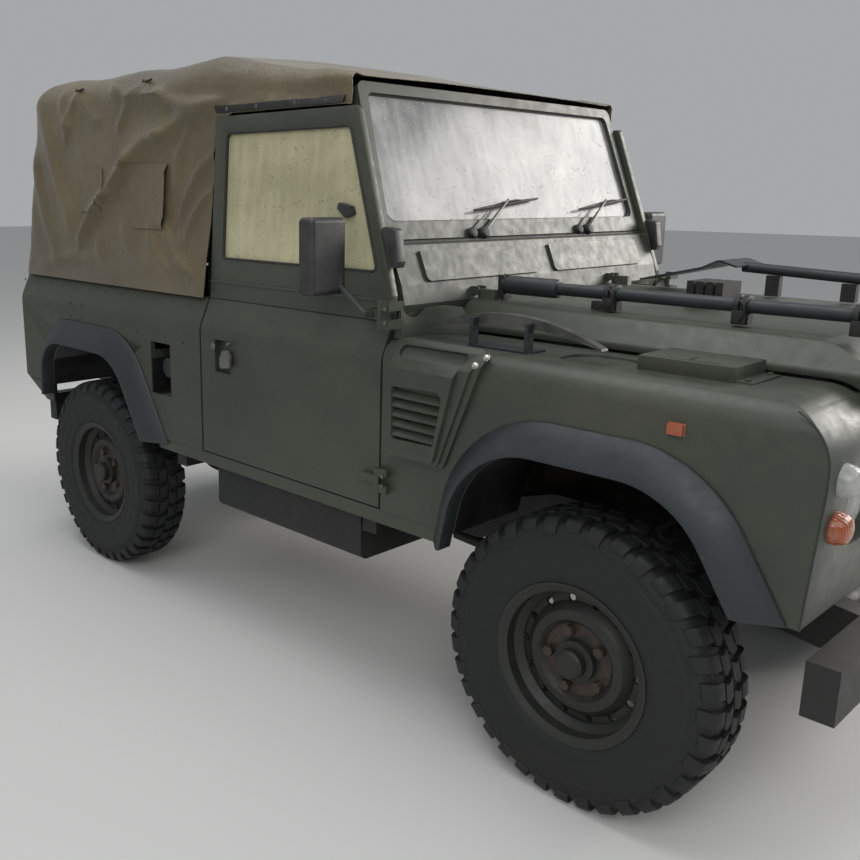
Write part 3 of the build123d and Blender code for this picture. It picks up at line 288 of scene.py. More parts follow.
paint = armyPaint("olive_paint", "body", "faded", undersealAndShade=True)
flarePaint = armyPaint("flare_paint", "flare", "flareFaded", roughness=0.5)
blackPaint = armyPaint("chassis_black", "chassis", "chassisFaded", dustTop=0.5, roughness=0.6, rust=0.06)
canvas = canvasCloth()
rubberTyre = tyreRubber()
rimPaint = wheelPaint()
# both tones, size of the patches, roughness, metal and depth of the grain
blackRubber = plain("black_rubber", (24, 24, 24), (40, 40, 39), 30.0, 0.62)
blackPlastic = plain("black_plastic", (34, 34, 36), (58, 57, 58), 12.0, 0.5)
oilySteel = plain("oily_steel", (44, 42, 40), (70, 62, 54), 18.0, 0.55, 0.6, 0.001)
rustySteel = plain("rusty_steel", (92, 60, 40), (120, 84, 58), 60.0, 0.8, 0.1, 0.0012)
pickSteel = plain("pick_steel", (62, 64, 62), (96, 96, 92), 18.0, 0.4, 0.5, 0.001)
dullSteel = plain("dull_steel", (84, 85, 80), (112, 112, 106), 16.0, 0.42, 0.4, 0.0008)
brightSteel = plain("bright_steel", (190, 188, 180), (214, 212, 204), 30.0, 0.28, 0.8, 0.0004)
seatCloth = plain("seat_cloth", (38, 39, 34), (52, 52, 45), 9.0, 0.82, 0.0, 0.0012)
screenGlass = mistedGlass("misted_screen", (112, 114, 115), (166, 166, 164), 0.92, (206, 206, 204))
doorGlass = mistedGlass("misted_door_glass", (160, 156, 126), (190, 184, 150), 0.94, (86, 82, 66))
clearLens = lampLens("fluted_lens", (196, 198, 196), 40.0, 0.55)
amberLens = lampLens("amber_lens", (158, 68, 20), 60.0, 1.0)
redLens = lampLens("red_lens", (150, 22, 18), 60.0, 1.0)

# what the solids wear where it isn't the body's paint
wornBy = [
    (blackPaint, "chassis_frame axles radius_arms coil_springs front_bumper towing_jaw right_knuckle left_knuckle"),
    (blackPaint, "track_rod fuel_tank roll_bars"), (oilySteel, "engine_block driveline"), (rustySteel, "exhaust"),
    (pickSteel, "pick_head"), (flarePaint, "pick_stand tool_tube shovel filler_cap"),
    (blackPlastic, "dashboard radiator"), (blackRubber, "bonnet_fittings"), (screenGlass, "windscreen_glass"),
    (clearLens, "headlamps"), (rimPaint, " ".join(corner + "_rim" for corner in wheelPlaces)),
]
nodeFinish = {node: finish for finish, nodes in wornBy for node in nodes.split()}
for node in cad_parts:
    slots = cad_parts[node].data.materials
    slots.clear()
    slots.append(nodeFinish.get(node, paint))
print("finishes made")


# mesh helpers: from a working mesh to a finished piece

def dataOf(name, mesh, outward=True):
    if outward:
        bmesh.ops.recalc_face_normals(mesh, faces=mesh.faces)
    data = bpy.data.meshes.new(name)
    mesh.to_mesh(data)
    mesh.free()
    return data


def inScene(name, data):
    made = bpy.data.objects.new(name, data)
    bpy.context.scene.collection.objects.link(made)
    return made


def softEdges(made, width, steps=2, angle=35):
    soft = made.modifiers.new("edges", "BEVEL")
    soft.width = width
    soft.segments = steps
    soft.limit_method = "ANGLE"
    soft.angle_limit = math.radians(angle)


def thicken(made, thickness, offset):
    skin = made.modifiers.new("thickness", "SOLIDIFY")
    skin.thickness = thickness
    skin.offset = offset


def baked(made):
    bpy.context.view_layer.update()
    shown = made.evaluated_get(bpy.context.evaluated_depsgraph_get())
    return bpy.data.meshes.new_from_object(shown)


def settle(made, finish, body, sharp=38.0, replaces=()):
    data, old = baked(made), made.data
    made.modifiers.clear()
    made.data = data
    bpy.data.meshes.remove(old)
    data.name = made.name
    data.shade_smooth()
    data.set_sharp_from_angle(angle=math.radians(sharp))
    data.materials.clear()
    data.materials.append(finish)
    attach(made, body)
    if replaces:
        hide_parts(*replaces)
    return made


class Shape:
    def __init__(self):
        self.mesh = bmesh.new()

    def strip(self, rings, loop=False):
        layers = [[self.mesh.verts.new(point) for point in ring] for ring in rings]
        count = len(rings[0])
        for a, b in zip(layers, layers[1:] + ([layers[0]] if loop else [])):
            for n in range(count):
                m = (n + 1) % count
                self.mesh.faces.new((a[n], a[m], b[m], b[n]))
        if not loop:
            self.mesh.faces.new(reversed(layers[0]))
            self.mesh.faces.new(layers[-1])
        return self

    def box(self, low, high):
        corners = [(low[0], low[1]), (high[0], low[1]), (high[0], high[1]), (low[0], high[1])]
        return self.strip([[Vector((x, y, z)) for x, y in corners] for z in (low[2], high[2])])

    def tube(self, path, radius, sides=12, loop=False):
        path = [Vector(point) for point in path]
        rings = []
        lead = Vector((0, 0, 1))
        for n, point in enumerate(path):
            before = path[n - 1] if n or loop else point
            after = path[(n + 1) % len(path)] if n < len(path) - 1 or loop else point
            along = (after - before).normalized()
            if abs(along.dot(lead)) > 0.95:
                lead = Vector((1, 0, 0)) if abs(along.x) < 0.9 else Vector((0, 1, 0))
            side = along.cross(lead).normalized()
            lead = side.cross(along).normalized()
            turns = [math.tau * k / sides for k in range(sides)]
            size = radius[n] if isinstance(radius, (list, tuple)) else radius
            rings.append([point + (side * math.cos(t) + lead * math.sin(t)) * size for t in turns])
        return self.strip(rings, loop)

    def lathe(self, section, place, steps=32, loop=False):
        turns = [math.tau * k / steps for k in range(steps)]
        rings = []
        for radius, height in section:
            rings.append([place @ Vector((radius * math.cos(t), radius * math.sin(t), height)) for t in turns])
        return self.strip(rings, loop)

    def piece(self, name, finish, body, slot="paint", bevel=0.0, sharp=38.0, steps=2, replaces=()):
        bmesh.ops.remove_doubles(self.mesh, verts=self.mesh.verts, dist=0.00002)
        made = inScene(name, dataOf(name, self.mesh))
        if bevel:
            softEdges(made, bevel, steps)
        return settle(made, finish, body, sharp, replaces)


def turnedTo(origin, aim):
    aim, up = Vector(aim).normalized(), Vector((0, 0, 1))
    if abs(aim.dot(up)) > 0.99:
        up = Vector((1, 0, 0))
    side = up.cross(aim).normalized()
    return Matrix.Translation(origin) @ Matrix((side, aim.cross(side), aim)).transposed().to_4x4()


# geometry nodes: one shape repeated round an axis, and fixings set on points

def newTree(name, inputs):
    tree = bpy.data.node_groups.new(name, "GeometryNodeTree")
    keys = {}
    for label, kind in {"Geometry": "Geometry", **inputs, "Material": "Material"}.items():
        keys[label] = tree.interface.new_socket(label, in_out="INPUT", socket_type="NodeSocket" + kind).identifier
    tree.interface.new_socket("Geometry", in_out="OUTPUT", socket_type="NodeSocketGeometry")
    return tree, keys


def wire(tree, *joints):
    for source, output, target, entry in joints:
        tree.links.new(source.outputs[output], target.inputs[entry])


def closeTree(tree, start, spots):
    real, finish, end = [tree.nodes.new(kind) for kind in (
        "GeometryNodeRealizeInstances", "GeometryNodeSetMaterial", "NodeGroupOutput",
    )]
    wire(tree, (spots, 0, real, 0), (real, 0, finish, "Geometry"), (start, "Material", finish, "Material"),
         (finish, 0, end, 0))


def ringTree():
    tree, keys = newTree("repeat_round", {"Count": "Int"})
    start, line, spots, index, step, angle, turn = [tree.nodes.new(kind) for kind in (
        "NodeGroupInput", "GeometryNodeMeshLine", "GeometryNodeInstanceOnPoints", "GeometryNodeInputIndex",
        "ShaderNodeMath", "ShaderNodeMath", "ShaderNodeCombineXYZ",
    )]
    line.mode = "OFFSET"
    line.inputs["Offset"].default_value = (0, 0, 0)
    step.operation, angle.operation = "DIVIDE", "MULTIPLY"
    step.inputs[0].default_value = math.tau
    wire(tree, (start, "Count", line, "Count"), (start, "Count", step, 1), (index, 0, angle, 0), (step, 0, angle, 1),
         (angle, 0, turn, "Y"), (line, 0, spots, "Points"), (start, "Geometry", spots, "Instance"),
         (turn, 0, spots, "Rotation"))
    closeTree(tree, start, spots)
    return tree, keys


def fixingTree():
    tree, keys = newTree("set_fixings", {"Shape": "Object", "Size": "Float"})
    start, shape, spots, aim, turn = [tree.nodes.new(kind) for kind in (
        "NodeGroupInput", "GeometryNodeObjectInfo", "GeometryNodeInstanceOnPoints",
        "GeometryNodeInputNamedAttribute", "FunctionNodeAlignRotationToVector",
    )]
    aim.data_type = "FLOAT_VECTOR"
    aim.inputs["Name"].default_value = "aim"
    turn.axis = "Z"
    wire(tree, (start, "Shape", shape, "Object"), (start, "Geometry", spots, "Points"),
         (shape, "Geometry", spots, "Instance"), (aim, 0, turn, "Vector"), (turn, 0, spots, "Rotation"),
         (start, "Size", spots, "Scale"))
    closeTree(tree, start, spots)
    return tree, keys


def runTree(made, source, **values):
    tree, keys = source
    tool = made.modifiers.new(tree.name, "NODES")
    tool.node_group = tree
    for label, value in values.items():
        tool[keys[label]] = value


ringNodes, fixingNodes = ringTree(), fixingTree()

# radius and height of each fixing's section as a share of its size, and its sides
fixingForms = {
    "rivet": ([(1.0, -0.1), (0.95, 0.12), (0.6, 0.36), (0.15, 0.44)], 10),
    "bolt": ([(1.25, -0.1), (1.25, 0.1), (1.0, 0.12), (1.0, 0.72), (0.8, 0.82)], 6),
    "screw": ([(1.0, -0.1), (1.0, 0.2), (0.8, 0.34), (0.3, 0.36), (0.24, 0.22)], 12),
}
fixingShapes = {}
for kind, (section, count) in fixingForms.items():
    turned = Shape().lathe(section, Matrix.Identity(4), count)
    fixingShapes[kind] = bpy.data.objects.new(kind, dataOf(kind, turned.mesh))


def fixings(name, kind, size, places, finish, body):
    data = bpy.data.meshes.new(name)
    data.from_pydata([place for place, _ in places], [], [])
    aims = data.attributes.new("aim", "FLOAT_VECTOR", "POINT")
    for item, (_, aim) in zip(aims.data, places):
        item.vector = Vector(aim).normalized()
    made = inScene(name, data)
    runTree(made, fixingNodes, Shape=fixingShapes[kind], Size=size, Material=finish)
    return settle(made, finish, body)


def row(start, end, count, aim):
    start, end = Vector(start), Vector(end)
    return [(start.lerp(end, n / (count - 1)), aim) for n in range(count)]


# tyres: a carcass with sidewall ribs, and tread lugs repeated round it
tyreLook = {
    "pitches": 18, "steps": 144, "edge": 0.0012, "draft": 0.12,
    "serrations": 9, "serrationWidth": 0.9, "serrationDraft": 0.1,
    # radius and distance from the wheel's middle, in millimetres
    "carcass": [
        (206, 76), (214, 86), (222, 90.5), (232, 94.5), (238, 97.6), (246, 98.2), (249, 97.2), (262, 99.6),
        (284, 101.6), (305, 102.2), (318, 102), (321, 102.9), (326, 102.8), (329, 101.6), (342, 99.4), (354, 96.4),
        (366, 92), (376, 85), (382, 74), (384, 50), (385, 0),
    ],
    "shoulderTop": [(397.6, 45), (397.4, 60), (396.6, 75), (392.5, 86), (382, 94.4), (368, 99.4), (354, 101.2)],
    "shoulderFoot": [(380, 45), (380, 60), (378, 75), (374, 82), (368, 88), (359, 93), (349, 96)],
    "middleTop": [(398, 3), (398, 16), (397.9, 28), (397.8, 38)],
    "middleFoot": [(381, 3), (381, 16), (381, 28), (381, 38)],
    "serrationTop": [(336, 101.9), (347, 99.8)], "serrationFoot": [(335, 99), (346, 97)],
    # share of a pitch, and degrees: start, width, and number of stations outwards; then the lean per station
    "shoulders": [(0, 0.4, 6.0, 7), (0.5, 0.2, 6.4, 6)], "shoulderLean": (0.35, 0.25), "shoulderEnds": (1.6, 1.2),
    "middles": [(0, 0.2), (0.5, 0.2)], "middleWidth": 6.6, "middleTurn": 1.4, "middleLeans": (0.0, 1.2, 1.9, 0.8),
}


def lug(shape, top, foot, angles, side, draft):
    rings = []
    for (topRadius, topSide), (footRadius, footSide), (a, b) in zip(top, foot, angles):
        ring = []
        for radius, offset, angle in (
            (footRadius, footSide, a - draft), (topRadius, topSide, a),
            (topRadius, topSide, b), (footRadius, footSide, b + draft),
        ):
            turn = math.radians(angle)
            ring.append(Vector((radius * math.sin(turn), side * offset, radius * math.cos(turn))) / 1000)
        rings.append(ring)
    shape.strip(rings)


def makeTyre(corner, centre):
    look, shape = tyreLook, Shape()
    pitch = 360 / look["pitches"]
    (nearLean, farLean), (nearEnd, farEnd) = look["shoulderLean"], look["shoulderEnds"]
    for way in (-1, 1):
        shift = 0 if way > 0 else pitch / 4
        for share, start, width, reach in look["shoulders"]:
            a = pitch * share + start + shift
            angles = [(a + nearEnd - k * nearLean, a + width + farEnd - k * farLean) for k in range(reach)]
            lug(shape, look["shoulderTop"][:reach], look["shoulderFoot"][:reach], angles, way, look["draft"])
        for share, start in look["middles"]:
            a = pitch * share + start + shift + look["middleTurn"]
            angles = [(a + lean, a + look["middleWidth"] + lean) for lean in look["middleLeans"]]
            lug(shape, look["middleTop"], look["middleFoot"], angles, way, look["draft"])
        for k in range(look["serrations"]):
            a = pitch * k / look["serrations"]
            angles = [(a, a + look["serrationWidth"])] * 2
            lug(shape, look["serrationTop"], look["serrationFoot"], angles, way, look["serrationDraft"])
    made = inScene("tyre_" + corner, dataOf("tyre_pitch", shape.mesh))
    softEdges(made, look["edge"], 1, 30)
    runTree(made, ringNodes, Count=look["pitches"], Material=rubberTyre)
    tread = baked(made)
    section = [(radius / 1000, y / 1000) for radius, y in look["carcass"]]
    section += [(radius, -y) for radius, y in section[-2::-1]]
    whole = Shape().lathe(section, turnedTo((0, 0, 0), (0, 1, 0)), look["steps"], True).mesh
    bmesh.ops.recalc_face_normals(whole, faces=whole.faces)
    whole.from_mesh(tread)
    bmesh.ops.transform(whole, matrix=Matrix.Translation(centre), verts=whole.verts)
    made.modifiers.clear()
    made.data = dataOf("tyre", whole, False)
    return settle(made, rubberTyre, "wheel_" + corner, 32.0, [corner + "_tyre"])


for corner, centre in wheelPlaces.items():
    makeTyre(corner, centre)
print("tyres made")


# panels cut from prisms, for forms that the photograph shows rounder than the nodes
acrossX = Matrix(((0, 0, 1, 0), (1, 0, 0, 0), (0, 1, 0, 0), (0, 0, 0, 1)))
acrossY = Matrix(((1, 0, 0, 0), (0, 0, 1, 0), (0, 1, 0, 0), (0, 0, 0, 1)))
level = Matrix.Identity(4)
sides = {"right": -1, "left": 1}


def rounded(corners, steps):
    points = []
    for n, (u, v, radius) in enumerate(corners):
        here = Vector((u, v))
        if radius <= 0:
            points.append(here)
            continue
        before = (Vector(corners[n - 1][:2]) - here).normalized()
        after = (Vector(corners[(n + 1) % len(corners)][:2]) - here).normalized()
        half = before.angle(after) / 2
        centre = here + (before + after).normalized() * (radius / math.sin(half))
        arm = here + before * (radius / math.tan(half)) - centre
        sweep = arm.angle_signed(here + after * (radius / math.tan(half)) - centre)
        for k in range(steps + 1):
            turn = -sweep * k / steps
            points.append(centre + Vector((
                arm.x * math.cos(turn) - arm.y * math.sin(turn), arm.x * math.sin(turn) + arm.y * math.cos(turn),
            )))
    return points


def oblong(u, v, radius=0):
    return [(u[0], v[0], radius), (u[1], v[0], radius), (u[1], v[1], radius), (u[0], v[1], radius)]


def solid(place, corners, low, high, steps=10):
    # corners (two places and a radius) and limits in millimetres
    outline = rounded(corners, steps)
    shape = Shape().strip([[place @ Vector((u, v, w)) / 1000 for u, v in outline] for w in (low, high)])
    return bpy.data.objects.new("solid", dataOf("solid", shape.mesh))


def flank(corners, y, side, steps=10):
    return solid(acrossY, corners, side * y[0], side * y[1], steps)


def slab(x, y, z):
    return solid(level, oblong(x, y), *z)


def nodeCopy(node):
    mesh = bmesh.new()
    mesh.from_mesh(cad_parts[node].data)
    bmesh.ops.remove_doubles(mesh, verts=mesh.verts, dist=0.00001)
    return bpy.data.objects.new("copy", dataOf("copy", mesh, False))


def carved(name, made, changes, finish, body, bevel=0.0, replaces=(), flip=False):
    made.name = name
    bpy.context.scene.collection.objects.link(made)
    for mode, tool in changes:
        step = made.modifiers.new(mode, "BOOLEAN")
        step.operation = mode
        step.solver = "EXACT"
        step.object = tool
    cut = baked(made)
    made.modifiers.clear()
    mesh = bmesh.new()
    mesh.from_mesh(cut)
    bpy.data.meshes.remove(cut)
    for mode, tool in changes:
        bpy.data.objects.remove(tool)
    if flip:
        bmesh.ops.scale(mesh, vec=(1, -1, 1), verts=mesh.verts)
    bmesh.ops.remove_doubles(mesh, verts=mesh.verts, dist=0.00002)
    bmesh.ops.dissolve_limit(mesh, angle_limit=0.002, verts=mesh.verts, edges=mesh.edges)
    made.data = dataOf(name, mesh)
    if bevel:
        softEdges(made, bevel, 2, 32)
    return settle(made, finish, body, 32.0, replaces)


# axle, rear and front leg from it, lean of each leg, top height, rear and front radius
archLook = {
    "front": (1242.5, -410, 498, 0.194, 0.626, 937, 270, 250), "rear": (-1117.5, -378, 470, 0.04, 0.63, 939, 150, 220),
    "legZ": 560, "foot": 420, "steps": 18,
}


def archOutline(end, grow=0, rearGrow=0, feet=(archLook["foot"], archLook["foot"])):
    axle, rear, front, rearSlope, frontSlope, top, rearRadius, frontRadius = archLook[end]
    behind, ahead = axle + rear - rearGrow, axle + front + grow * math.hypot(1, frontSlope)
    high, leg = top + grow, archLook["legZ"]
    return [
        (behind + rearSlope * (feet[0] - leg), feet[0], 0),
        (behind + rearSlope * (high - leg), high, rearRadius + grow),
        (ahead - frontSlope * (high - leg), high, frontRadius + grow),
        (ahead - frontSlope * (feet[1] - leg), feet[1], 0),
    ]


# wings with a rounded nose, a dish for the lamp and one in the top, and the cheek beside the grille
wingLook = {
    "rear": 565, "front": 1808, "side": 833, "inner": 525, "foot": 650.3, "top": 1170, "shoulder": 62, "nose": 130,
    "cheek": ((1681, 1809), (-526, -432), (690, 1152)), "below": ((1242, 1830), (-860, -515), (0, 690)),
    "hidden": 30, "chinBack": 25, "chinZ": 600, "noseZ": 1000, "dish": ((1074, 1272), (-742, -586), 70), "dishDeep": 7,
    "lamp": ((-694, -486), (826, 1034), 103.9), "lampBack": 1742,
}


def noseOutline(grow):
    look = wingLook
    rear, front, top = look["rear"] - look["hidden"], look["front"] + grow, look["top"] + grow
    return [
        (rear, look["chinZ"], 0), (front - look["chinBack"], look["chinZ"], 0), (front, look["noseZ"], 0),
        (front, top, look["nose"] + grow), (rear, top, 0),
    ]


def wingSolid():
    look = wingLook
    side, inner, foot, top = -look["side"], -look["inner"], look["foot"], look["top"]
    section = [(side, foot, 0), (side, top, look["shoulder"]), (inner, top, 0), (inner, foot, 0)]
    return solid(acrossX, section, look["rear"], look["front"] + 1), [
        ("UNION", slab(*look["cheek"])),
        ("INTERSECT", solid(acrossY, noseOutline(0.02), -950, -420, 16)),
        ("DIFFERENCE", slab(*look["below"])),
        ("DIFFERENCE", solid(acrossY, archOutline("front"), -930, -515, archLook["steps"])),
        ("DIFFERENCE", solid(level, oblong(*look["dish"]), top - look["dishDeep"], top + 20)),
        ("DIFFERENCE", solid(acrossX, oblong(*look["lamp"]), look["lampBack"], 1840, 12)),
    ]


for tag in sides:
    made, changes = wingSolid()
    carved("wing_" + tag, made, changes, paint, "vehicle", bevel=0.003, replaces=[tag + "_wing"], flip=tag == "left")

bonnetLook = {
    "half": 512, "rear": 572, "front": 1803, "top": 1262, "foot": 1176, "skin": 12, "gap": 6,
    "shoulder": 62, "edge": 16, "depth": 120, "low": 1050, "brow": (1653, 1254, 190), "lip": (1188, 16),
    "hollowX": (540, 1640), "noseHollow": ((1600, 1791), (-500, 500), (1000, 1172)),
    "stopX": (576, 642), "stopY": (-400, 400), "stopHalf": 14, "stopZ": (1256, 1292),
}


def bonnetSection(inset):
    look = bonnetLook
    half, high, foot = look["half"] - inset, look["top"] - inset, look["foot"]
    low, brow, flat = foot - look["depth"], foot + look["edge"], half - look["shoulder"]
    return [(-half, low, 0), (-half, brow, 14), (-flat, high, 52), (flat, high, 52), (half, brow, 14), (half, low, 0)]


look = bonnetLook
bonnetSide = [
    (look["rear"], look["low"], 0), (look["rear"], look["top"] + 0.02, 0), look["brow"],
    (look["front"], *look["lip"]), (look["front"], look["low"], 0),
]
bonnetParts = [
    ("INTERSECT", solid(acrossY, bonnetSide, -700, 700, 16)),
    ("DIFFERENCE", solid(acrossX, bonnetSection(look["skin"]), *look["hollowX"])),
    ("DIFFERENCE", slab(*look["noseHollow"])),
    ("DIFFERENCE", solid(acrossY, noseOutline(look["gap"]), -700, 700, 16)),
]
for y in look["stopY"]:
    bonnetParts.append(("UNION", slab(look["stopX"], (y - look["stopHalf"], y + look["stopHalf"]), look["stopZ"])))
bonnet = solid(acrossX, bonnetSection(0), look["rear"], 1810)
carved("bonnet_panel", bonnet, bonnetParts, paint, "bonnet_lid", bevel=0.003, replaces=["bonnet"])

# flares: one sloping face from the body out to a narrow lip
flareLook = {"base": 833.3, "step": 7, "shrink": 0.96, "lipY": 888.3, "lip": 12, "steps": 24}
# width over the arch, width of the rear leg, height of the rear and front foot
flareSizes = {"front": (92, 62, 612, 690), "rear": (105, 90, 690, 630)}
look, flares = flareLook, Shape()
for side in sides.values():
    for end, (width, leg, *feet) in flareSizes.items():
        rings = []
        for grow, back, y in (
            (0, 0, look["base"]), (width, leg, look["base"]),
            (width * look["shrink"], leg * look["shrink"], look["base"] + look["step"]),
            (look["lip"], look["lip"], look["lipY"]), (0, 0, look["lipY"]),
        ):
            line = rounded(archOutline(end, grow, back, feet), look["steps"])
            rings.append([Vector((x, side * y, z)) / 1000 for x, z in line])
        flares.strip([list(ring) for ring in zip(*rings)])
flares.piece("flares", flarePaint, "vehicle", bevel=0.0035, sharp=40.0, steps=3, replaces=["arch_flares"])

# tub: the node's own panels with the arches opened to the photograph's line, and its side run down behind
tubLook = {
    "tail": [(-1757, 752, 0), (-1560, 651, 0), (-1757, 500, 0)],
    "skirt": [(-1748, 747, 0), (-1560, 651, 0), (-1497, 651, 0), (-1497, 732, 0), (-1748, 748, 0)],
    "skin": (812, 833), "archY": (523, 930), "tailY": (501, 930),
}
look, tubChanges = tubLook, []
for side in sides.values():
    tubChanges.append(("DIFFERENCE", flank(archOutline("rear"), look["archY"], side, archLook["steps"])))
    tubChanges.append(("DIFFERENCE", flank(look["tail"], look["tailY"], side)))
carved("tub_panels", nodeCopy("rear_tub"), tubChanges, paint, "vehicle", replaces=["rear_tub"])
for tag, side in sides.items():
    carved("tub_skirt_" + tag, flank(look["skirt"], look["skin"], side), [], paint, "vehicle", bevel=0.002)

# door tops with the photograph's bars, and their panes
doorTopLook = {
    "lean": 0.068, "foot": (790, 1216.07), "rear": -336, "front": 553, "slope": 0.3475, "knee": 76, "high": 623.4,
    "footBar": 142, "rearBar": 68, "headBar": 58, "frontBar": 46, "frame": (-26, 0), "pane": (-16, -10), "paneGap": 0.3,
}


def doorTopPlace(side):
    lean = Vector((0, -side * doorTopLook["lean"], 1)).normalized()
    out = Vector((0, side, doorTopLook["lean"])).normalized()
    y, z = doorTopLook["foot"]
    return Matrix.Translation((0, side * y, z)) @ Matrix((Vector((1, 0, 0)), lean, out)).transposed().to_4x4()


def doorOpening(gap):
    look = doorTopLook
    low, high, rear = look["footBar"] + gap, look["high"] - look["headBar"] - gap, look["rear"] + look["rearBar"] + gap
    front, slope = look["front"] - look["frontBar"] - gap + look["slope"] * look["knee"], look["slope"]
    return [(rear, low, 14), (rear, high, 20), (front - slope * high, high, 20), (front - slope * low, low, 14)]


look = doorTopLook
doorTopShape = [
    (look["rear"], 0, 0), (look["rear"], look["high"], 14),
    (look["front"] - look["slope"] * (look["high"] - look["knee"]), look["high"], 14),
    (look["front"], look["knee"], 10), (look["front"], 0, 0),
]
for tag, side in sides.items():
    place, door = doorTopPlace(side), "door_" + tag
    cut = [("DIFFERENCE", solid(place, doorOpening(0), -31, 9))]
    bars, pane = solid(place, doorTopShape, *look["frame"]), solid(place, doorOpening(look["paneGap"]), *look["pane"])
    carved("door_frame_" + tag, bars, cut, paint, door, bevel=0.003, replaces=[tag + "_door_top"])
    carved("door_pane_" + tag, pane, [], doorGlass, door, replaces=[tag + "_door_glass"])
print("panels made")


# canvas hood: one sheet over roof, sides and tail, with the folds it hangs in
hoodLook = {
    "footZ": 1.2143, "topZ": 2.075, "frontZ": 1.938, "frontX": 0.322, "bowX": -0.425, "doorX": -0.350,
    "doorHeadZ": 1.846, "rearFootX": -1.752, "rearTopX": -1.702, "footY": 0.812, "topY": 0.726, "widen": 0.03,
    "eave": 0.105, "frontEave": 0.034, "crown": 0.027, "tailCorner": 0.058, "pitch": 0.0155,
    "proud": 0.003, "thickness": 0.0022, "foldRise": 1.25, "bows": (-0.42, -0.96, -1.50),
}
hoodHigh = hoodLook["topZ"] - hoodLook["footZ"]
# ends of each fold on the right side (x, z), width, height, and how sharply its far flank falls
hoodFolds = [
    ((-0.40, 1.86), (-0.68, 1.78), 0.040, 0.020, 1.8), ((-0.66, 1.79), (-0.90, 1.70), 0.046, 0.026, 2.2),
    ((-0.88, 1.70), (-1.06, 1.55), 0.036, 0.026, 2.6), ((-1.04, 1.57), (-1.24, 1.39), 0.036, 0.026, 2.6),
    ((-1.02, 1.98), (-0.70, 1.945), 0.026, 0.018, 1.8), ((-0.72, 1.945), (-0.34, 1.885), 0.028, 0.020, 1.8),
    ((-0.91, 1.45), (-0.73, 1.29), 0.028, 0.015, 1.2), ((-0.72, 1.43), (-0.57, 1.29), 0.022, 0.016, 1.6),
    ((-0.62, 1.45), (-0.45, 1.30), 0.024, 0.018, 1.6), ((-0.52, 1.42), (-0.39, 1.24), 0.016, 0.012, 1.2),
    ((-1.62, 1.92), (-1.32, 1.42), 0.044, 0.015, 1.4), ((-1.70, 1.72), (-1.44, 1.30), 0.036, 0.012, 1.4),
    ((-1.10, 1.38), (-0.94, 1.24), 0.030, 0.012, 1.2), ((-0.50, 1.80), (-0.58, 1.60), 0.026, 0.010, 1.2),
    ((-1.44, 1.98), (-1.39, 1.84), 0.034, 0.012, 1.2), ((-1.18, 1.31), (-1.58, 1.25), 0.034, 0.011, 1.2),
    ((-1.30, 1.98), (-1.14, 1.86), 0.022, 0.011, 1.4), ((-1.31, 1.98), (-1.42, 1.80), 0.022, 0.010, 1.4),
    ((-0.79, 1.98), (-0.66, 1.87), 0.020, 0.010, 1.4), ((-0.80, 1.98), (-0.98, 1.84), 0.024, 0.012, 1.4),
    ((-0.36, 1.70), (-0.52, 1.52), 0.020, 0.011, 1.4), ((-0.36, 1.58), (-0.48, 1.42), 0.016, 0.009, 1.4),
]


def clamped(value):
    return max(0.0, min(1.0, value))


def foldHeight(x, z, folds):
    total = 0.0
    for (ax, az), (bx, bz), width, height, lean in folds:
        dx, dz = bx - ax, bz - az
        length = math.hypot(dx, dz)
        t = ((x - ax) * dx + (z - az) * dz) / length ** 2
        if -0.25 < t < 1.25:
            across = ((x - ax) * dz - (z - az) * dx) / length
            across -= 0.018 * math.sin(t * 3.4)
            fade = clamped(min((t + 0.25) * 3, (1.25 - t) * 3))
            spread = width * (1 if across > 0 else 1 / lean)
            total += hoodLook["foldRise"] * height * math.exp(-((across / spread) ** 2)) * fade * fade * (3 - 2 * fade)
    return total


def hoodPoint(across, along, up):
    # across -1..1 and up 0..1 over the box form, along in metres from the tail
    look = hoodLook
    width, high, length = look["topY"] + look["widen"], hoodHigh, look["frontX"] - look["rearFootX"]
    ahead = max(0.0, (along + look["rearFootX"] - look["bowX"]) / (look["frontX"] - look["bowX"]))
    eave = look["eave"] + (look["frontEave"] - look["eave"]) * ahead
    raw = Vector((along, across * width, up * high))
    core = Vector((
        max(raw.x, look["tailCorner"]),
        max(-width + eave, min(width - eave, raw.y)),
        min(raw.z, high - eave),
    ))
    out = raw - core
    depth = Vector((look["tailCorner"], eave, eave))
    if out.length > 1e-9:
        aim = out.normalized()
        reach = depth.x * abs(aim.x) + depth.y * abs(aim.y) + depth.z * abs(aim.z)
        point = core + aim * min(reach, max(eave, look["tailCorner"]))
    else:
        aim, point = Vector((0, 0, 1)), raw
    share = point.z / high
    lean = (look["footY"] + (look["topY"] - look["footY"]) * share) / width
    tail = (look["rearTopX"] - look["rearFootX"]) * share
    fade = max(0.0, 1 - point.x / length)
    x = look["rearFootX"] + point.x + tail * fade
    fall = max(0.0, x - look["bowX"]) / (look["frontX"] - look["bowX"])
    headShare = (look["doorHeadZ"] - look["footZ"]) / high
    overDoor = clamped((x - look["doorX"]) / 0.10)
    rise = clamped(1.6 * (share - headShare) / (1 - headShare))
    held = (1 - overDoor) * min(1.0, share * 1.15) + overDoor * rise
    drop = (look["topZ"] - look["frontZ"]) * (fall ** 1.12) * held
    drop += look["crown"] * (1 - 0.75 * ahead) * max(0.0, (abs(point.y) - 0.28) / 0.46) ** 1.3 * held
    return Vector((x, point.y * lean, look["footZ"] + point.z - drop)), aim


def ripple(x, y, z, start):
    return noise.fractal(Vector((x, y, z)) + Vector(start), 1.0, 2.0, 3)


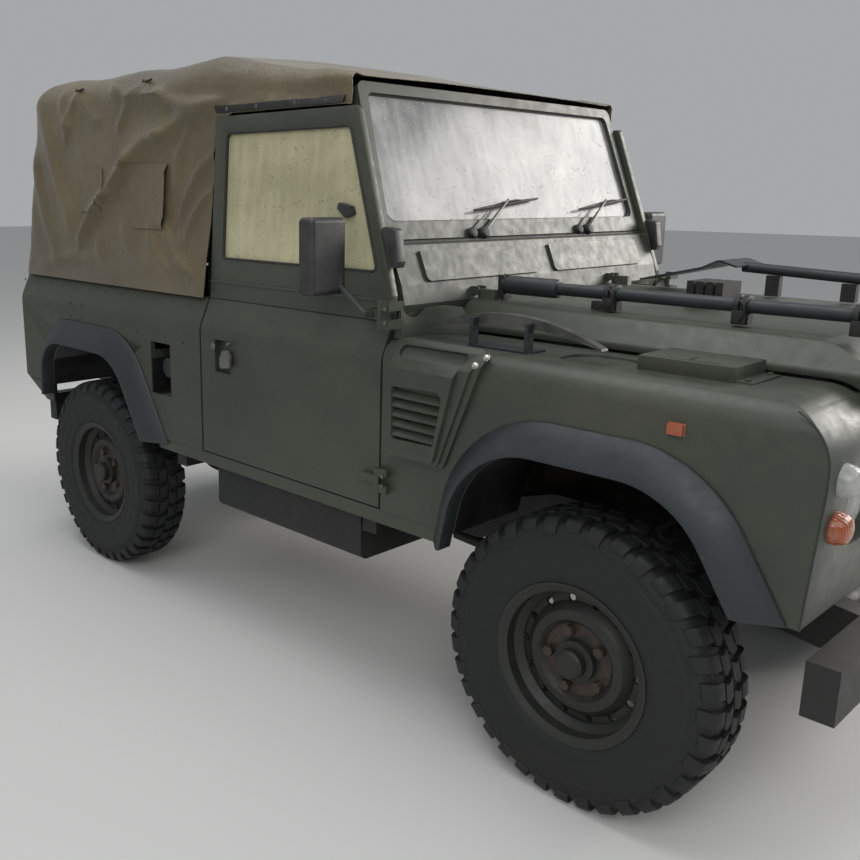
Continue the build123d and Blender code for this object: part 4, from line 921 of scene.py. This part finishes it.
def wrinkle(point, aim):
    x, y, z = point
    side, roof, tail = abs(aim.y), max(0.0, aim.z), max(0.0, -aim.x)
    span = (z - hoodLook["footZ"]) / hoodHigh
    pinned = clamped(span * 7) * (0.25 + 0.75 * clamped((hoodLook["frontX"] - x) * 4))
    slow = ripple(x * 1.7, y * 1.9, z * 1.5, (3.1, 0.4, 7.7))
    drape = ripple(x * 6.5 + z * 3.2, y * 1.2, z * 1.6 - x * 1.2, (9.2, 1.3, 0))
    fine = ripple(x * 15 + z * 9, y * 3, z * 7 - x * 4, (2.2, 5.1, 0.6))
    height = 0.007 * slow + 0.006 * drape * side + 0.0022 * fine * side
    if side > 0.5:
        # the left side has every other fold, a little flatter
        if y < 0:
            height += foldHeight(x, z, hoodFolds) * side
        else:
            height += foldHeight(x, z + 0.02 * math.sin(x * 5), hoodFolds[::2]) * side * 0.8
        height -= 0.010 * math.exp(-((z - 1.55) / 0.28) ** 2) * side
    hem = math.exp(-((z - 1.865) / 0.022) ** 2) * (x > -0.34) * side
    height += hem * (0.004 + 0.004 * math.sin(x * 47) * math.sin(x * 19))
    # the roof sags between the bows
    bows = min(abs(x - bow) for bow in hoodLook["bows"])
    height -= 0.012 * min(1.0, bows / 0.2) ** 1.5 * roof * (0.4 if x > -0.35 else 1.0)
    scallop = abs(math.sin((x + 0.05) * math.pi / 0.36))
    height += 0.005 * scallop * side * max(0.0, 1 - abs(z - 1.98) / 0.10)
    height += 0.006 * ripple(y * 7.0, z * 2.0, 4.4, (0, 0, 0)) * tail
    return height * pinned - 0.004


def gridLine(start, end, pitch, stops=()):
    marks = sorted([start, end, *stops])
    line = [marks[0]]
    for a, b in zip(marks, marks[1:]):
        count = max(1, round((b - a) / pitch))
        line += [a + (b - a) * (n + 1) / count for n in range(count)]
    return line


def makeHood():
    look = hoodLook
    length = look["frontX"] - look["rearFootX"]
    pitch = look["pitch"]
    doorAlong = look["doorX"] - look["rearFootX"]
    headUp = (look["doorHeadZ"] - look["footZ"]) / hoodHigh
    ups = gridLine(0, 1, pitch / hoodHigh, [headUp])
    alongs = gridLine(0, length, pitch, [doorAlong])
    acrosses = gridLine(-1, 1, pitch / (look["topY"] + look["widen"]))
    mesh = bmesh.new()
    known = {}

    def corner(across, along, up):
        key = (round(across, 6), round(along, 6), round(up, 6))
        if key not in known:
            point, aim = hoodPoint(*key)
            known[key] = mesh.verts.new(point + aim * (wrinkle(point, aim) + look["proud"]))
        return known[key]

    def patch(rows, columns, at, keep=None):
        for a, b in zip(rows, rows[1:]):
            for c, d in zip(columns, columns[1:]):
                if keep and not keep((a + b) / 2, (c + d) / 2):
                    continue
                ring = [at(a, c), at(a, d), at(b, d), at(b, c)]
                if len(set(ring)) == 4:
                    mesh.faces.new(ring)

    for side in sides.values():
        patch(ups, alongs, lambda u, a: corner(side, a, u), lambda u, a: a < doorAlong or u > headUp)
    patch(acrosses, alongs, lambda c, a: corner(c, a, 1.0))
    patch(ups, acrosses, lambda u, c: corner(c, 0.0, u))
    bmesh.ops.remove_doubles(mesh, verts=mesh.verts, dist=0.0004)
    bmesh.ops.recalc_face_normals(mesh, faces=mesh.faces)
    area = sum(face.calc_area() for face in mesh.faces)
    made = inScene("hood_canvas", dataOf("hood_canvas", mesh, False))
    thicken(made, look["thickness"], -1)
    settle(made, canvas, "vehicle", 60.0, ["canvas_hood"])
    return made, area


hoodCanvas, hoodArea = makeHood()
print("hood made, area", round(hoodArea, 3))


def hoodSurface(x, z, side):
    # a point on the hood's side at x, z, found by stepping through the form
    look = hoodLook
    along, up = x - look["rearFootX"], (z - look["footZ"]) / hoodHigh
    for _ in range(12):
        point, aim = hoodPoint(side, along, up)
        along += x - point.x
        up += (z - point.z) / hoodHigh
    return point + aim * (wrinkle(point, aim) + look["proud"])


# on both sides a window flap with one open edge, and a sewn patch
patchLook = {
    "flap": [(-0.888, 1.690), (-0.628, 1.686), (-0.620, 1.446), (-0.846, 1.446)], "flapRise": 0.020,
    "patch": [(-1.300, 1.676), (-1.105, 1.673), (-1.092, 1.504), (-1.262, 1.500)], "patchRise": 0.0035,
    "cells": 16, "off": 0.0012, "waves": 0.002, "thickness": 0.0018,
}


def sidePatch(kind, tag):
    side, count, rise = sides[tag], patchLook["cells"], patchLook[kind + "Rise"]
    (x0, z0), (x1, z1), (x2, z2), (x3, z3) = patchLook[kind]
    mesh, grid = bmesh.new(), []
    for n in range(count + 1):
        v, line = n / count, []
        for m in range(count + 1):
            u = m / count
            x = (x0 + (x1 - x0) * u) * (1 - v) + (x3 + (x2 - x3) * u) * v
            z = (z0 + (z1 - z0) * u) * (1 - v) + (z3 + (z2 - z3) * u) * v
            edge = min(1.0, 8 * min(v, 1 - v), 8 * u)
            lift = rise * (0.12 + 0.88 * u ** 2.2 * edge) if kind == "flap" else rise
            lift += patchLook["waves"] * noise.noise(Vector((x * 22, z * 22, side)))
            line.append(mesh.verts.new(hoodSurface(x, z, side) + Vector((0, side, 0)) * (lift + patchLook["off"])))
        grid.append(line)
    for a, b in zip(grid, grid[1:]):
        for n in range(count):
            mesh.faces.new((a[n], a[n + 1], b[n + 1], b[n]))
    made = inScene("hood_%s_%s" % (kind, tag), dataOf(kind, mesh))
    thicken(made, patchLook["thickness"], 0)
    return settle(made, canvas, "vehicle", 60.0)


hoodPieces = [sidePatch(kind, tag) for tag in sides for kind in ("flap", "patch")]

# tie loops along the roof's edge
loopLook = {"places": [-1.305, -0.795], "z": 1.995, "radius": 0.0045, "half": 0.028, "droop": 0.012, "rise": 0.013}
look, loops = loopLook, Shape()
for side in sides.values():
    for x in look["places"]:
        point, out, path = hoodSurface(x, look["z"], side), Vector((0, side, 0.25)).normalized(), []
        for n in range(9):
            t = math.pi * n / 8
            step = Vector((-look["half"] * math.cos(t), 0, -look["droop"] * math.sin(t)))
            path.append(point + step + out * (look["rise"] * math.sin(t) - 0.001))
        loops.tube(path, look["radius"], 8)
hoodPieces.append(loops.piece("hood_loops", blackRubber, "vehicle", "rubber"))

round(hoodArea * 0.985, 3)
print("hood fittings made")


# seats: crowned pads with a drawn-in waist
seatLook = {
    "y": 0.42, "cells": 14, "crown": 0.006, "round": 0.012, "waist": 0.03, "underside": 0.35, "lean": -0.12,
    "base": (0.452, 0.46, 0.112), "basePlace": (-0.070, 0.9415),
    "back": (0.478, 0.44, 0.084), "backPlace": (-0.282, 1.252),
}


def cushion(mesh, size, place):
    look, count = seatLook, seatLook["cells"]
    faces = []
    for face in (-1, 1):
        grid = []
        for n in range(count + 1):
            line = []
            for m in range(count + 1):
                u, v = 2 * n / count - 1, 2 * m / count - 1
                pull = (1 - abs(u) ** 2.6) * (1 - abs(v) ** 2.6)
                ends = (1 - abs(u) ** 4) * (abs(v) > 0.99), (1 - abs(v) ** 4) * (abs(u) > 0.99)
                inset = 1 - look["waist"] * ends[0] - look["waist"] * ends[1]
                rise = look["crown"] * (look["underside"] if face < 0 else 1.0) * pull
                fall = look["round"] * (abs(u) ** 8 + abs(v) ** 8) * 0.5
                height = face * (size[2] * 0.5 - look["round"] + rise - fall)
                spot = Vector((u * size[0] * 0.5 * inset, v * size[1] * 0.5 * inset, height))
                line.append(mesh.verts.new(place @ spot))
            grid.append(line)
        faces.append(grid)
        for n in range(count):
            for m in range(count):
                ring = (grid[n][m], grid[n + 1][m], grid[n + 1][m + 1], grid[n][m + 1])
                mesh.faces.new(ring[::-1] if face < 0 else ring)
    edge = [(n, 0) for n in range(count)] + [(count, m) for m in range(count)]
    edge += [(n, count) for n in range(count, 0, -1)] + [(0, m) for m in range(count, 0, -1)]
    for (a, b), (c, d) in zip(edge, edge[1:] + edge[:1]):
        mesh.faces.new((faces[0][a][b], faces[0][c][d], faces[1][c][d], faces[1][a][b]))


def makePads(name, node, kind, turn):
    mesh = bmesh.new()
    x, z = seatLook[kind + "Place"]
    for side in sides.values():
        cushion(mesh, seatLook[kind], Matrix.Translation((x, side * seatLook["y"], z)) @ turn)
    made = inScene(name, dataOf(name, mesh))
    soft = made.modifiers.new("soft", "SUBSURF")
    soft.levels = soft.render_levels = 1
    settle(made, seatCloth, "vehicle", 80.0, [node])


makePads("seat_base_pads", "seat_cushions", "base", level)
upright = Matrix.Rotation(seatLook["lean"], 4, "Y") @ Matrix.Rotation(math.pi / 2, 4, "Y")
makePads("seat_back_pads", "seat_backs", "back", upright)
print("seats made")


# air intake on the right wing: stepped border, sloping top shelf with an oblong dish, louvre
intakeLook = {
    "border": [(610, 826, 14), (610, 1182, 20), (948, 1182, 30), (812, 832, 30)], "borderY": -846,
    "ridge": [(622, 838, 12), (622, 1172, 16), (922, 1172, 34), (800, 838, 26)], "ridgeY": -857,
    "face": [(622, 846, 10), (622, 1150, 10), (872, 1150, 20), (795, 850, 22)], "faceY": -872, "innerY": -800,
    "louvre": [(640, 896, 10), (637, 1050, 10), (826, 1057, 22), (796, 900, 8)],
    "slats": 5, "slatPitch": 28.5, "firstSlat": 905, "slatX": (632, 800), "slatLonger": 6,
    "slat": [(26, 22), (26, 17), (4, 0), (4, 5)], "shelfHigh": (0, 90), "dishDeep": (-12, 12), "louvreDeep": (-20, 24),
    "shelf": (0, -862, 1117), "slope": (0.613, 0.79), "above": ((560, 980), (-60, 160)),
    "dish": ((636, 880), (22, 62), 18), "bolts": [(912, 30, 0), (936, 58, 0)],
}
look = intakeLook
inner, face, (across, down) = look["innerY"], look["faceY"], look["slope"]
shelf = Matrix.Translation(look["shelf"]) @ Matrix(((1, 0, 0), (0, across, -down), (0, down, across))).to_4x4()
slats = []
for n in range(look["slats"]):
    z = look["firstSlat"] + n * look["slatPitch"]
    section = [(face + deep, z + up, 0) for deep, up in look["slat"]]
    slats.append(("UNION", solid(acrossX, section, look["slatX"][0], look["slatX"][1] + n * look["slatLonger"])))
carved("intake", solid(acrossY, look["border"], look["borderY"], inner), [
    ("UNION", solid(acrossY, look["ridge"], look["ridgeY"], inner)),
    ("UNION", solid(acrossY, look["face"], face, inner)),
    ("DIFFERENCE", solid(shelf, oblong(*look["above"]), *look["shelfHigh"])),
    ("DIFFERENCE", solid(shelf, oblong(*look["dish"]), *look["dishDeep"])),
    ("DIFFERENCE", solid(acrossY, look["louvre"], *[face + deep for deep in look["louvreDeep"]])), *slats,
], paint, "vehicle", bevel=0.0022, replaces=["air_intake"])
shelfBolts = [(shelf @ Vector(place) / 1000, (0, -down, across)) for place in look["bolts"]]
fixings("intake_bolts", "bolt", 0.0085, shelfBolts, brightSteel, "vehicle")

# cover on the wing top, with a pressed T slot, a latch hole and a bolted flange
coverLook = {
    "box": ((1300, 1541), (-704, -536), (1168, 1205)), "flange": ((1535, 1581), (-696, -542), (1167, 1174)),
    "grooves": [((1334, 1495), (-686, -678)), ((1414, 1422), (-686, -630))], "latch": ((1428, 1440), (-598, -586), 5),
    "pressed": (1196, 1215), "bolts": [(1.563, -0.680, 1.174), (1.563, -0.560, 1.174)],
}
look = coverLook
carved("wing_cover", slab(*look["box"]), [
    ("UNION", slab(*look["flange"])),
    *[("DIFFERENCE", slab(*groove, look["pressed"])) for groove in look["grooves"]],
    ("DIFFERENCE", solid(level, oblong(*look["latch"]), *look["pressed"])),
], paint, "vehicle", bevel=0.0025, replaces=["box_cover"])
fixings("cover_bolts", "bolt", 0.007, [(place, (0, 0, 1)) for place in look["bolts"]], paint, "vehicle")

# welt along the front and top edge of each wing's side
weltLook = {"y": 833.6, "foot": (1789, 690), "top": 1.16, "radius": 0.0022}
look, welts = weltLook, Shape()
for side in sides.values():
    line = [look["foot"], *rounded(noseOutline(0), 14)[2:17]]
    line = [Vector((x, side * look["y"], z)) / 1000 for x, z in line]
    welts.tube([point for point in line if point.z < look["top"]], look["radius"], 8)
welts.piece("wing_welts", flarePaint, "vehicle")

# tool tube: sleeve, forked end, and straps round the posts with their free tails
tubeLook = {
    "y": -0.380, "z": 1.310, "straps": [1.032, 1.405, 1.690],
    "sleeve": [(0.0236, 0.664), (0.0275, 0.668), (0.0285, 0.690), (0.0285, 0.844), (0.0262, 0.852), (0.0236, 0.853)],
    "bandAt": (-0.010, 0.010), "knot": (0, -0.026, 0.004),
    "padX": 0.017, "padY": (-0.028, -0.0135), "padZ": (1.263, 1.300),
    "band": [(0.0236, -0.008), (0.0268, -0.007), (0.0268, 0.007), (0.0236, 0.008)],
    "tail": [(0, 0, 0), (0.004, -0.008, 0.012), (0.016, -0.010, 0.002), (0.020, -0.009, -0.022),
             (0.008, -0.007, -0.040)],
    "blocks": [((0.972, -0.394, 1.262), (1.000, -0.366, 1.286)), ((0.640, -0.397, 1.272), (0.662, -0.391, 1.340)),
               ((0.640, -0.369, 1.272), (0.662, -0.363, 1.340)), ((0.648, -0.394, 1.262), (0.662, -0.366, 1.290))],
}
look, tubeY = tubeLook, tubeLook["y"]
tubeAxis = turnedTo((0, tubeY, look["z"]), (1, 0, 0))
Shape().lathe(look["sleeve"], tubeAxis).piece("tube_sleeve", flarePaint, "bonnet_lid", bevel=0.0008)
straps = Shape()
for x in look["straps"]:
    for edge in look["bandAt"]:
        straps.lathe([(radius, x + edge + wide) for radius, wide in look["band"]], tubeAxis, 28)
    base = Vector((x, tubeY, look["z"])) + Vector(look["knot"])
    straps.tube([base + Vector(step) for step in look["tail"]], 0.0024, 8)
    low, high = zip(look["padY"], look["padZ"])
    straps.box((x - look["padX"], tubeY + low[0], low[1]), (x + look["padX"], tubeY + high[0], high[1]))
for low, high in look["blocks"]:
    straps.box(low, high)
straps.piece("tube_straps", blackRubber, "bonnet_lid", "rubber", bevel=0.0012)

# wipers: a spindle box, a broad and a thin arm, and the blade with its bridge
wiperLook = {
    "shifts": (0, 0.625), "spring": [(0.482, -0.274, 1.460), (0.465, -0.191, 1.513), (0.449, -0.105, 1.566)],
    "rod": [(0.474, -0.327, 1.468), (0.457, -0.224, 1.528)], "blade": [(0.452, -0.294, 1.532), (0.4385, 0.083, 1.570)],
    "bladeAt": (0, 0.2, 0.5, 0.8, 1.0), "bladeRadius": [0.0035, 0.0060, 0.0066, 0.0060, 0.0035],
    "bridge": [(0.24, 0), (0.42, 1), (0.62, 1), (0.80, 0)], "bridgeRise": (0.006, 0, 0.009),
    "knobs": {
        (0.474, -0.332, 1.458): [(0.016, -0.02), (0.019, -0.016), (0.019, 0.012), (0.015, 0.017), (0.004, 0.018)],
        (0.478, -0.276, 1.458): [(0.016, -0.02), (0.020, -0.016), (0.020, 0.014), (0.015, 0.019), (0.004, 0.020)],
    },
    "box": ((0.456, -0.352, 1.438), (0.478, -0.250, 1.468)), "aim": (0.94, 0, 0.34),
}
look, wiperSteel, wiperBlack = wiperLook, Shape(), Shape()
for shift in look["shifts"]:
    by = Vector((0, shift, 0))
    spring, rod, (tip, end), block = [
        [Vector(point) + by for point in look[key]] for key in ("spring", "rod", "blade", "box")
    ]
    wiperSteel.tube([spring[0], spring[0].lerp(spring[1], 0.5), *spring[1:]], [0.0080, 0.0078, 0.0052, 0.0042], 10)
    wiperSteel.tube(rod, 0.0028, 8)
    wiperBlack.tube([tip.lerp(end, t) for t in look["bladeAt"]], look["bladeRadius"], 8)
    wiperBlack.tube([tip.lerp(end, t) + Vector(look["bridgeRise"]) * up for t, up in look["bridge"]], 0.0036, 8)
    for place, section in look["knobs"].items():
        wiperBlack.lathe(section, turnedTo(Vector(place) + by, look["aim"]), 20)
    wiperBlack.box(*block)
wiperBlack.piece("wiper_blades", blackRubber, "vehicle", "rubber", bevel=0.001, replaces=["wipers"])
wiperSteel.piece("wiper_arms", dullSteel, "vehicle", bevel=0.0006)

# windscreen: rubber round the pane, the seal under the frame and the clamp at each lower corner
screenLook = {
    "low": (0.4445, 0, 1.4945), "high": (0.3065, 0, 1.8765), "half": 0.704, "corner": 0.045, "proud": 0.004,
    "rubber": 0.0065, "seal": [(0.482, y, 1.4375) for y in (-0.735, -0.3, 0.3, 0.735)], "sealRadius": 0.0085,
    "clamp": [(492, 1490, 8), (546, 1484, 14), (562, 1390, 10), (556, 1372, 6), (534, 1372, 4)], "clampY": (738, 776),
}
look = screenLook
screenFoot, screenUp = Vector(look["low"]), Vector(look["high"]) - Vector(look["low"])
half, tall, corner = look["half"], screenUp.length, look["corner"]
screenUp.normalize()
screenFoot += Vector((screenUp.z, 0, -screenUp.x)) * look["proud"]
pane = rounded([(-half, 0, corner), (-half, tall, corner), (half, tall, corner), (half, 0, corner)], 8)
screenRubber = Shape().tube([screenFoot + Vector((0, u, 0)) + screenUp * v for u, v in pane], look["rubber"], 8, True)
screenRubber.tube(look["seal"], look["sealRadius"], 10).piece("screen_rubber", blackRubber, "vehicle", "rubber")
for tag, side in sides.items():
    clamp = flank(look["clamp"], look["clampY"], side)
    carved("screen_clamp_" + tag, clamp, [], blackPlastic, "vehicle", bevel=0.004)

# lamps: front ones stand on the rounded nose, rear ones are red and amber, and a repeater on each wing
lampLook = {
    "form": [(0.037, -0.012), (0.037, 0.010), (0.0345, 0.014), (0.033, 0.022), (0.027, 0.031), (0.014, 0.036),
             (0.003, 0.037)],
    "y": 0.748,
    "amber": [(1.803, 0.905, 1), (-1.748, 1.120, -1)], "red": [(-1.748, 1.030, -1), (-1.748, 0.940, -1)],
    "clear": [(1.808, 1.010, 1)], "plate": ((1.458, 0.831, 1.058), (1.500, 0.835, 1.088)),
    "repeater": ((1.460, 0.834, 1.060), (1.498, 0.846, 1.086)),
}
look = lampLook
for tint, lens, bevel, stands in (
    ("amber", amberLens, 0.0016, ["small_lamps"]), ("red", redLens, 0.001, ()), ("clear", clearLens, 0.001, ()),
):
    lamps = Shape()
    for side in sides.values():
        for x, z, way in look[tint]:
            lamps.lathe(look["form"], turnedTo((x, side * look["y"], z), (way, 0, 0)), 28)
        for low, high in (look["plate"], look["repeater"]) if tint == "amber" else ():
            near, far = sorted((side * low[1], side * high[1]))
            lamps.box((low[0], near, low[2]), (high[0], far, high[2]))
    lamps.piece("lamps_" + tint, lens, "vehicle", "lens", bevel, replaces=stands)

# mirrors with softened edges
for tag in sides:
    mirror = tag + "_mirror"
    carved("mirror_" + tag, nodeCopy(mirror), [], blackPlastic, "door_" + tag, bevel=0.007, replaces=[mirror])

# door levers in their recesses with lock barrels, and the catch inside each pane
leverLook = {
    "posts": [(-0.160, 0.995), (-0.160, 1.072)], "post": [(0.006, 0), (0.006, 0.014), (0.005, 0.015)], "skinY": 0.838,
    "grip": [(-0.205, 0.982), (-0.150, 0.990), (-0.146, 1.030), (-0.160, 1.050), (-0.190, 1.046), (-0.206, 1.020)],
    "gripY": (0.842, 0.852), "lock": (-0.238, 1.056),
    "barrel": [(0.012, 0), (0.012, 0.004), (0.010, 0.006), (0.002, 0.007)],
    "catch": [(310, 1538, 3), (318, 1556, 3), (366, 1546, 4), (376, 1522, 4), (344, 1510, 4)], "catchY": (758, 782),
}
look = leverLook
for tag, side in sides.items():
    lever, door = Shape(), "door_" + tag
    for x, z in look["posts"]:
        lever.lathe(look["post"], turnedTo((x, side * look["skinY"], z), (0, side, 0)), 12)
    lever.strip([[Vector((x, side * y, z)) for x, z in look["grip"]] for y in look["gripY"]])
    x, z = look["lock"]
    lever.lathe(look["barrel"], turnedTo((x, side * look["gripY"][1], z), (0, side, 0)), 18)
    lever.piece("door_lever_" + tag, dullSteel, door, bevel=0.002)
    catch = flank(look["catch"], look["catchY"], side)
    carved("pane_catch_" + tag, catch, [], blackPlastic, door, bevel=0.003)

# door tops: ledge over the foot rail, and rubber round the pane
ledgeLook = {"low": 56, "high": 64, "deep": 5, "rubber": 0.0045}
look, (rear, front) = ledgeLook, (doorTopLook["rear"] + 1, doorTopLook["front"] - 1)
ledge = [(rear, look["low"], 0), (rear, look["high"], 3), (front, look["high"], 3), (front, look["low"], 0)]
for tag, side in sides.items():
    place, door = doorTopPlace(side), "door_" + tag
    carved("door_ledge_" + tag, solid(place, ledge, -2, look["deep"]), [], paint, door, bevel=0.0015)
    line = [place @ Vector((u, v, -1.5)) / 1000 for u, v in rounded(doorOpening(0), 6)]
    Shape().tube(line, look["rubber"], 8, True).piece("pane_rubber_" + tag, blackRubber, door, "rubber")

# hood: header strap over each door head and its studs
headerLook = {
    "low": 1.849, "high": 1.872, "start": -0.330, "length": 0.625, "under": -0.003, "over": 0.0045,
    "studs": [-0.27, -0.116, 0.074, 0.22], "studZ": 1.860, "studOut": 0.0048,
}
look, headerStuds, headerStrap = headerLook, [], Shape()
for side in sides.values():
    rings = []
    for n in range(33):
        x = look["start"] + look["length"] * n / 32
        low, high = [hoodSurface(x, look[key], side) for key in ("low", "high")]
        under, over = [Vector((0, side * look[key], 0)) for key in ("under", "over")]
        rings.append([low + under, low + over, high + over, high + under])
    headerStrap.strip(rings)
    for x in look["studs"]:
        stud = hoodSurface(x, look["studZ"], side) + Vector((0, side * look["studOut"], 0))
        headerStuds.append((stud, (0, side, 0)))
headerStrap.piece("hood_header", blackRubber, "vehicle", "rubber", bevel=0.0008)

# rivets, screws and bolts
rivetLook = {
    "skinY": 0.8335, "single": [(-0.766, 1.052), (-0.452, 1.041)], "rail": (-1.70, -0.40, 1.190, 12),
    "filler": [(x, z) for x in (-1.294, -1.196) for z in (1.062, 1.116)],
    "hinge": [(0.590, z) for z in (0.735, 0.765, 1.222, 1.262)], "hingeY": 0.8545,
    "flareY": 0.8455, "flareShare": 0.80, "flareFoot": 30, "flareCount": 11,
    "bonnet": [((0.62, -0.30, 1.2625), (0.62, 0.30, 1.2625), 4), ((0.74, -0.12, 1.2625), (1.02, -0.12, 1.2625), 2)],
}
look, sideRivets, flareRivets, hingeScrews = rivetLook, [], [], []
for side in sides.values():
    out, y = (0, side, 0), side * look["skinY"]
    sideRivets += [((x, y, z), out) for x, z in look["filler"] + look["single"]]
    start, end, z, count = look["rail"]
    sideRivets += row((start, y, z), (end, y, z), count, out)
    hingeScrews += [((x, side * look["hingeY"], z), out) for x, z in look["hinge"]]
    for end, (width, leg, *feet) in flareSizes.items():
        feet = [foot + look["flareFoot"] for foot in feet]
        share = look["flareShare"]
        line = rounded(archOutline(end, width * share, leg * share, feet), flareLook["steps"])
        spans = [0.0]
        for a, b in zip(line, line[1:]):
            spans.append(spans[-1] + (b - a).length)
        for k in range(look["flareCount"]):
            reach = spans[-1] * (k + 0.5) / look["flareCount"]
            n = max(m for m in range(len(line) - 1) if spans[m] <= reach)
            point = line[n].lerp(line[n + 1], (reach - spans[n]) / (spans[n + 1] - spans[n])) / 1000
            flareRivets.append(((point.x, side * look["flareY"], point.y), (0, side, 0.2)))
bonnetRivets = [rivet for line in look["bonnet"] for rivet in row(*line, (0, 0, 1))]
fixings("hood_studs", "screw", 0.0065, headerStuds, dullSteel, "vehicle")
fixings("side_rivets", "rivet", 0.0055, sideRivets, flarePaint, "vehicle")
fixings("flare_rivets", "rivet", 0.0045, flareRivets, flarePaint, "vehicle")
fixings("hinge_screws", "screw", 0.006, hingeScrews, dullSteel, "vehicle")
fixings("bonnet_rivets", "rivet", 0.0055, bonnetRivets, flarePaint, "bonnet_lid")
print("details made")

# camera at the photograph's place, with its framing; the turn is a rotation vector to the lens's own axes
cameraLook = {
    "place": (2.44232, -2.80692, 1.58180), "turn": (1.68985417, 0.729335542, -0.566685760), "focal": 39.57,
    "shift": (0.10671, -0.01405),
}
sight = Vector(cameraLook["turn"])
right, down, ahead = Matrix.Rotation(sight.length, 3, sight.normalized())
turn = Matrix((right, -down, -ahead)).transposed().to_4x4()
camera = inScene("camera", bpy.data.cameras.new("camera"))
camera.data.sensor_width = 36
camera.data.lens = cameraLook["focal"]
camera.data.shift_x, camera.data.shift_y = cameraLook["shift"]
camera.matrix_world = Matrix.Translation(cameraLook["place"]) @ turn
bpy.context.scene.camera = camera

# floor, world and soft lamps: size and power of each lamp, where it stands and what it points at
studioLook = {
    "floor": (206, 206, 204), "half": 40, "air": (226, 229, 232), "airStrength": 0.50,
    "lamps": {
        "far_lamp": ((3.6, 6.2, 3.6), (0, 0, 1.0), (4.5, 3.0), 500, (1.0, 0.97, 0.92)),
        "near_lamp": ((3.4, -5.0, 4.4), (0.2, -0.5, 0.7), (4.0, 3.0), 130, (1, 1, 1)),
        "top_lamp": ((-0.5, -1.0, 6.5), (0, 0, 0), (6.0, 4.0), 190, (1, 1, 1)),
    },
}
look, floorData = studioLook, bpy.data.meshes.new("floor")
floorData.from_pydata([(x, y, 0) for x, y, _ in oblong((-look["half"], look["half"]), (-look["half"], look["half"]))],
                      [], [(0, 1, 2, 3)])
floorData.materials.append(Finish("pale_floor").close(Base_Color=look["floor"], Roughness=0.9))
inScene("floor", floorData)

world = bpy.data.worlds.new("studio")
bpy.context.scene.world = world
world.use_nodes = True
air = world.node_tree.nodes["Background"].inputs
air["Color"].default_value = (*tone(*look["air"]), 1)
air["Strength"].default_value = look["airStrength"]

for name, (place, aim, size, power, colour) in look["lamps"].items():
    data = bpy.data.lights.new(name, "AREA")
    data.shape = "RECTANGLE"
    data.size, data.size_y = size
    data.energy = power
    data.color = colour
    away = Vector(place) - Vector(aim)
    inScene(name, data).matrix_world = Matrix.Translation(place) @ away.to_track_quat("Z", "Y").to_matrix().to_4x4()

bpy.context.scene.view_settings.view_transform = "Standard"
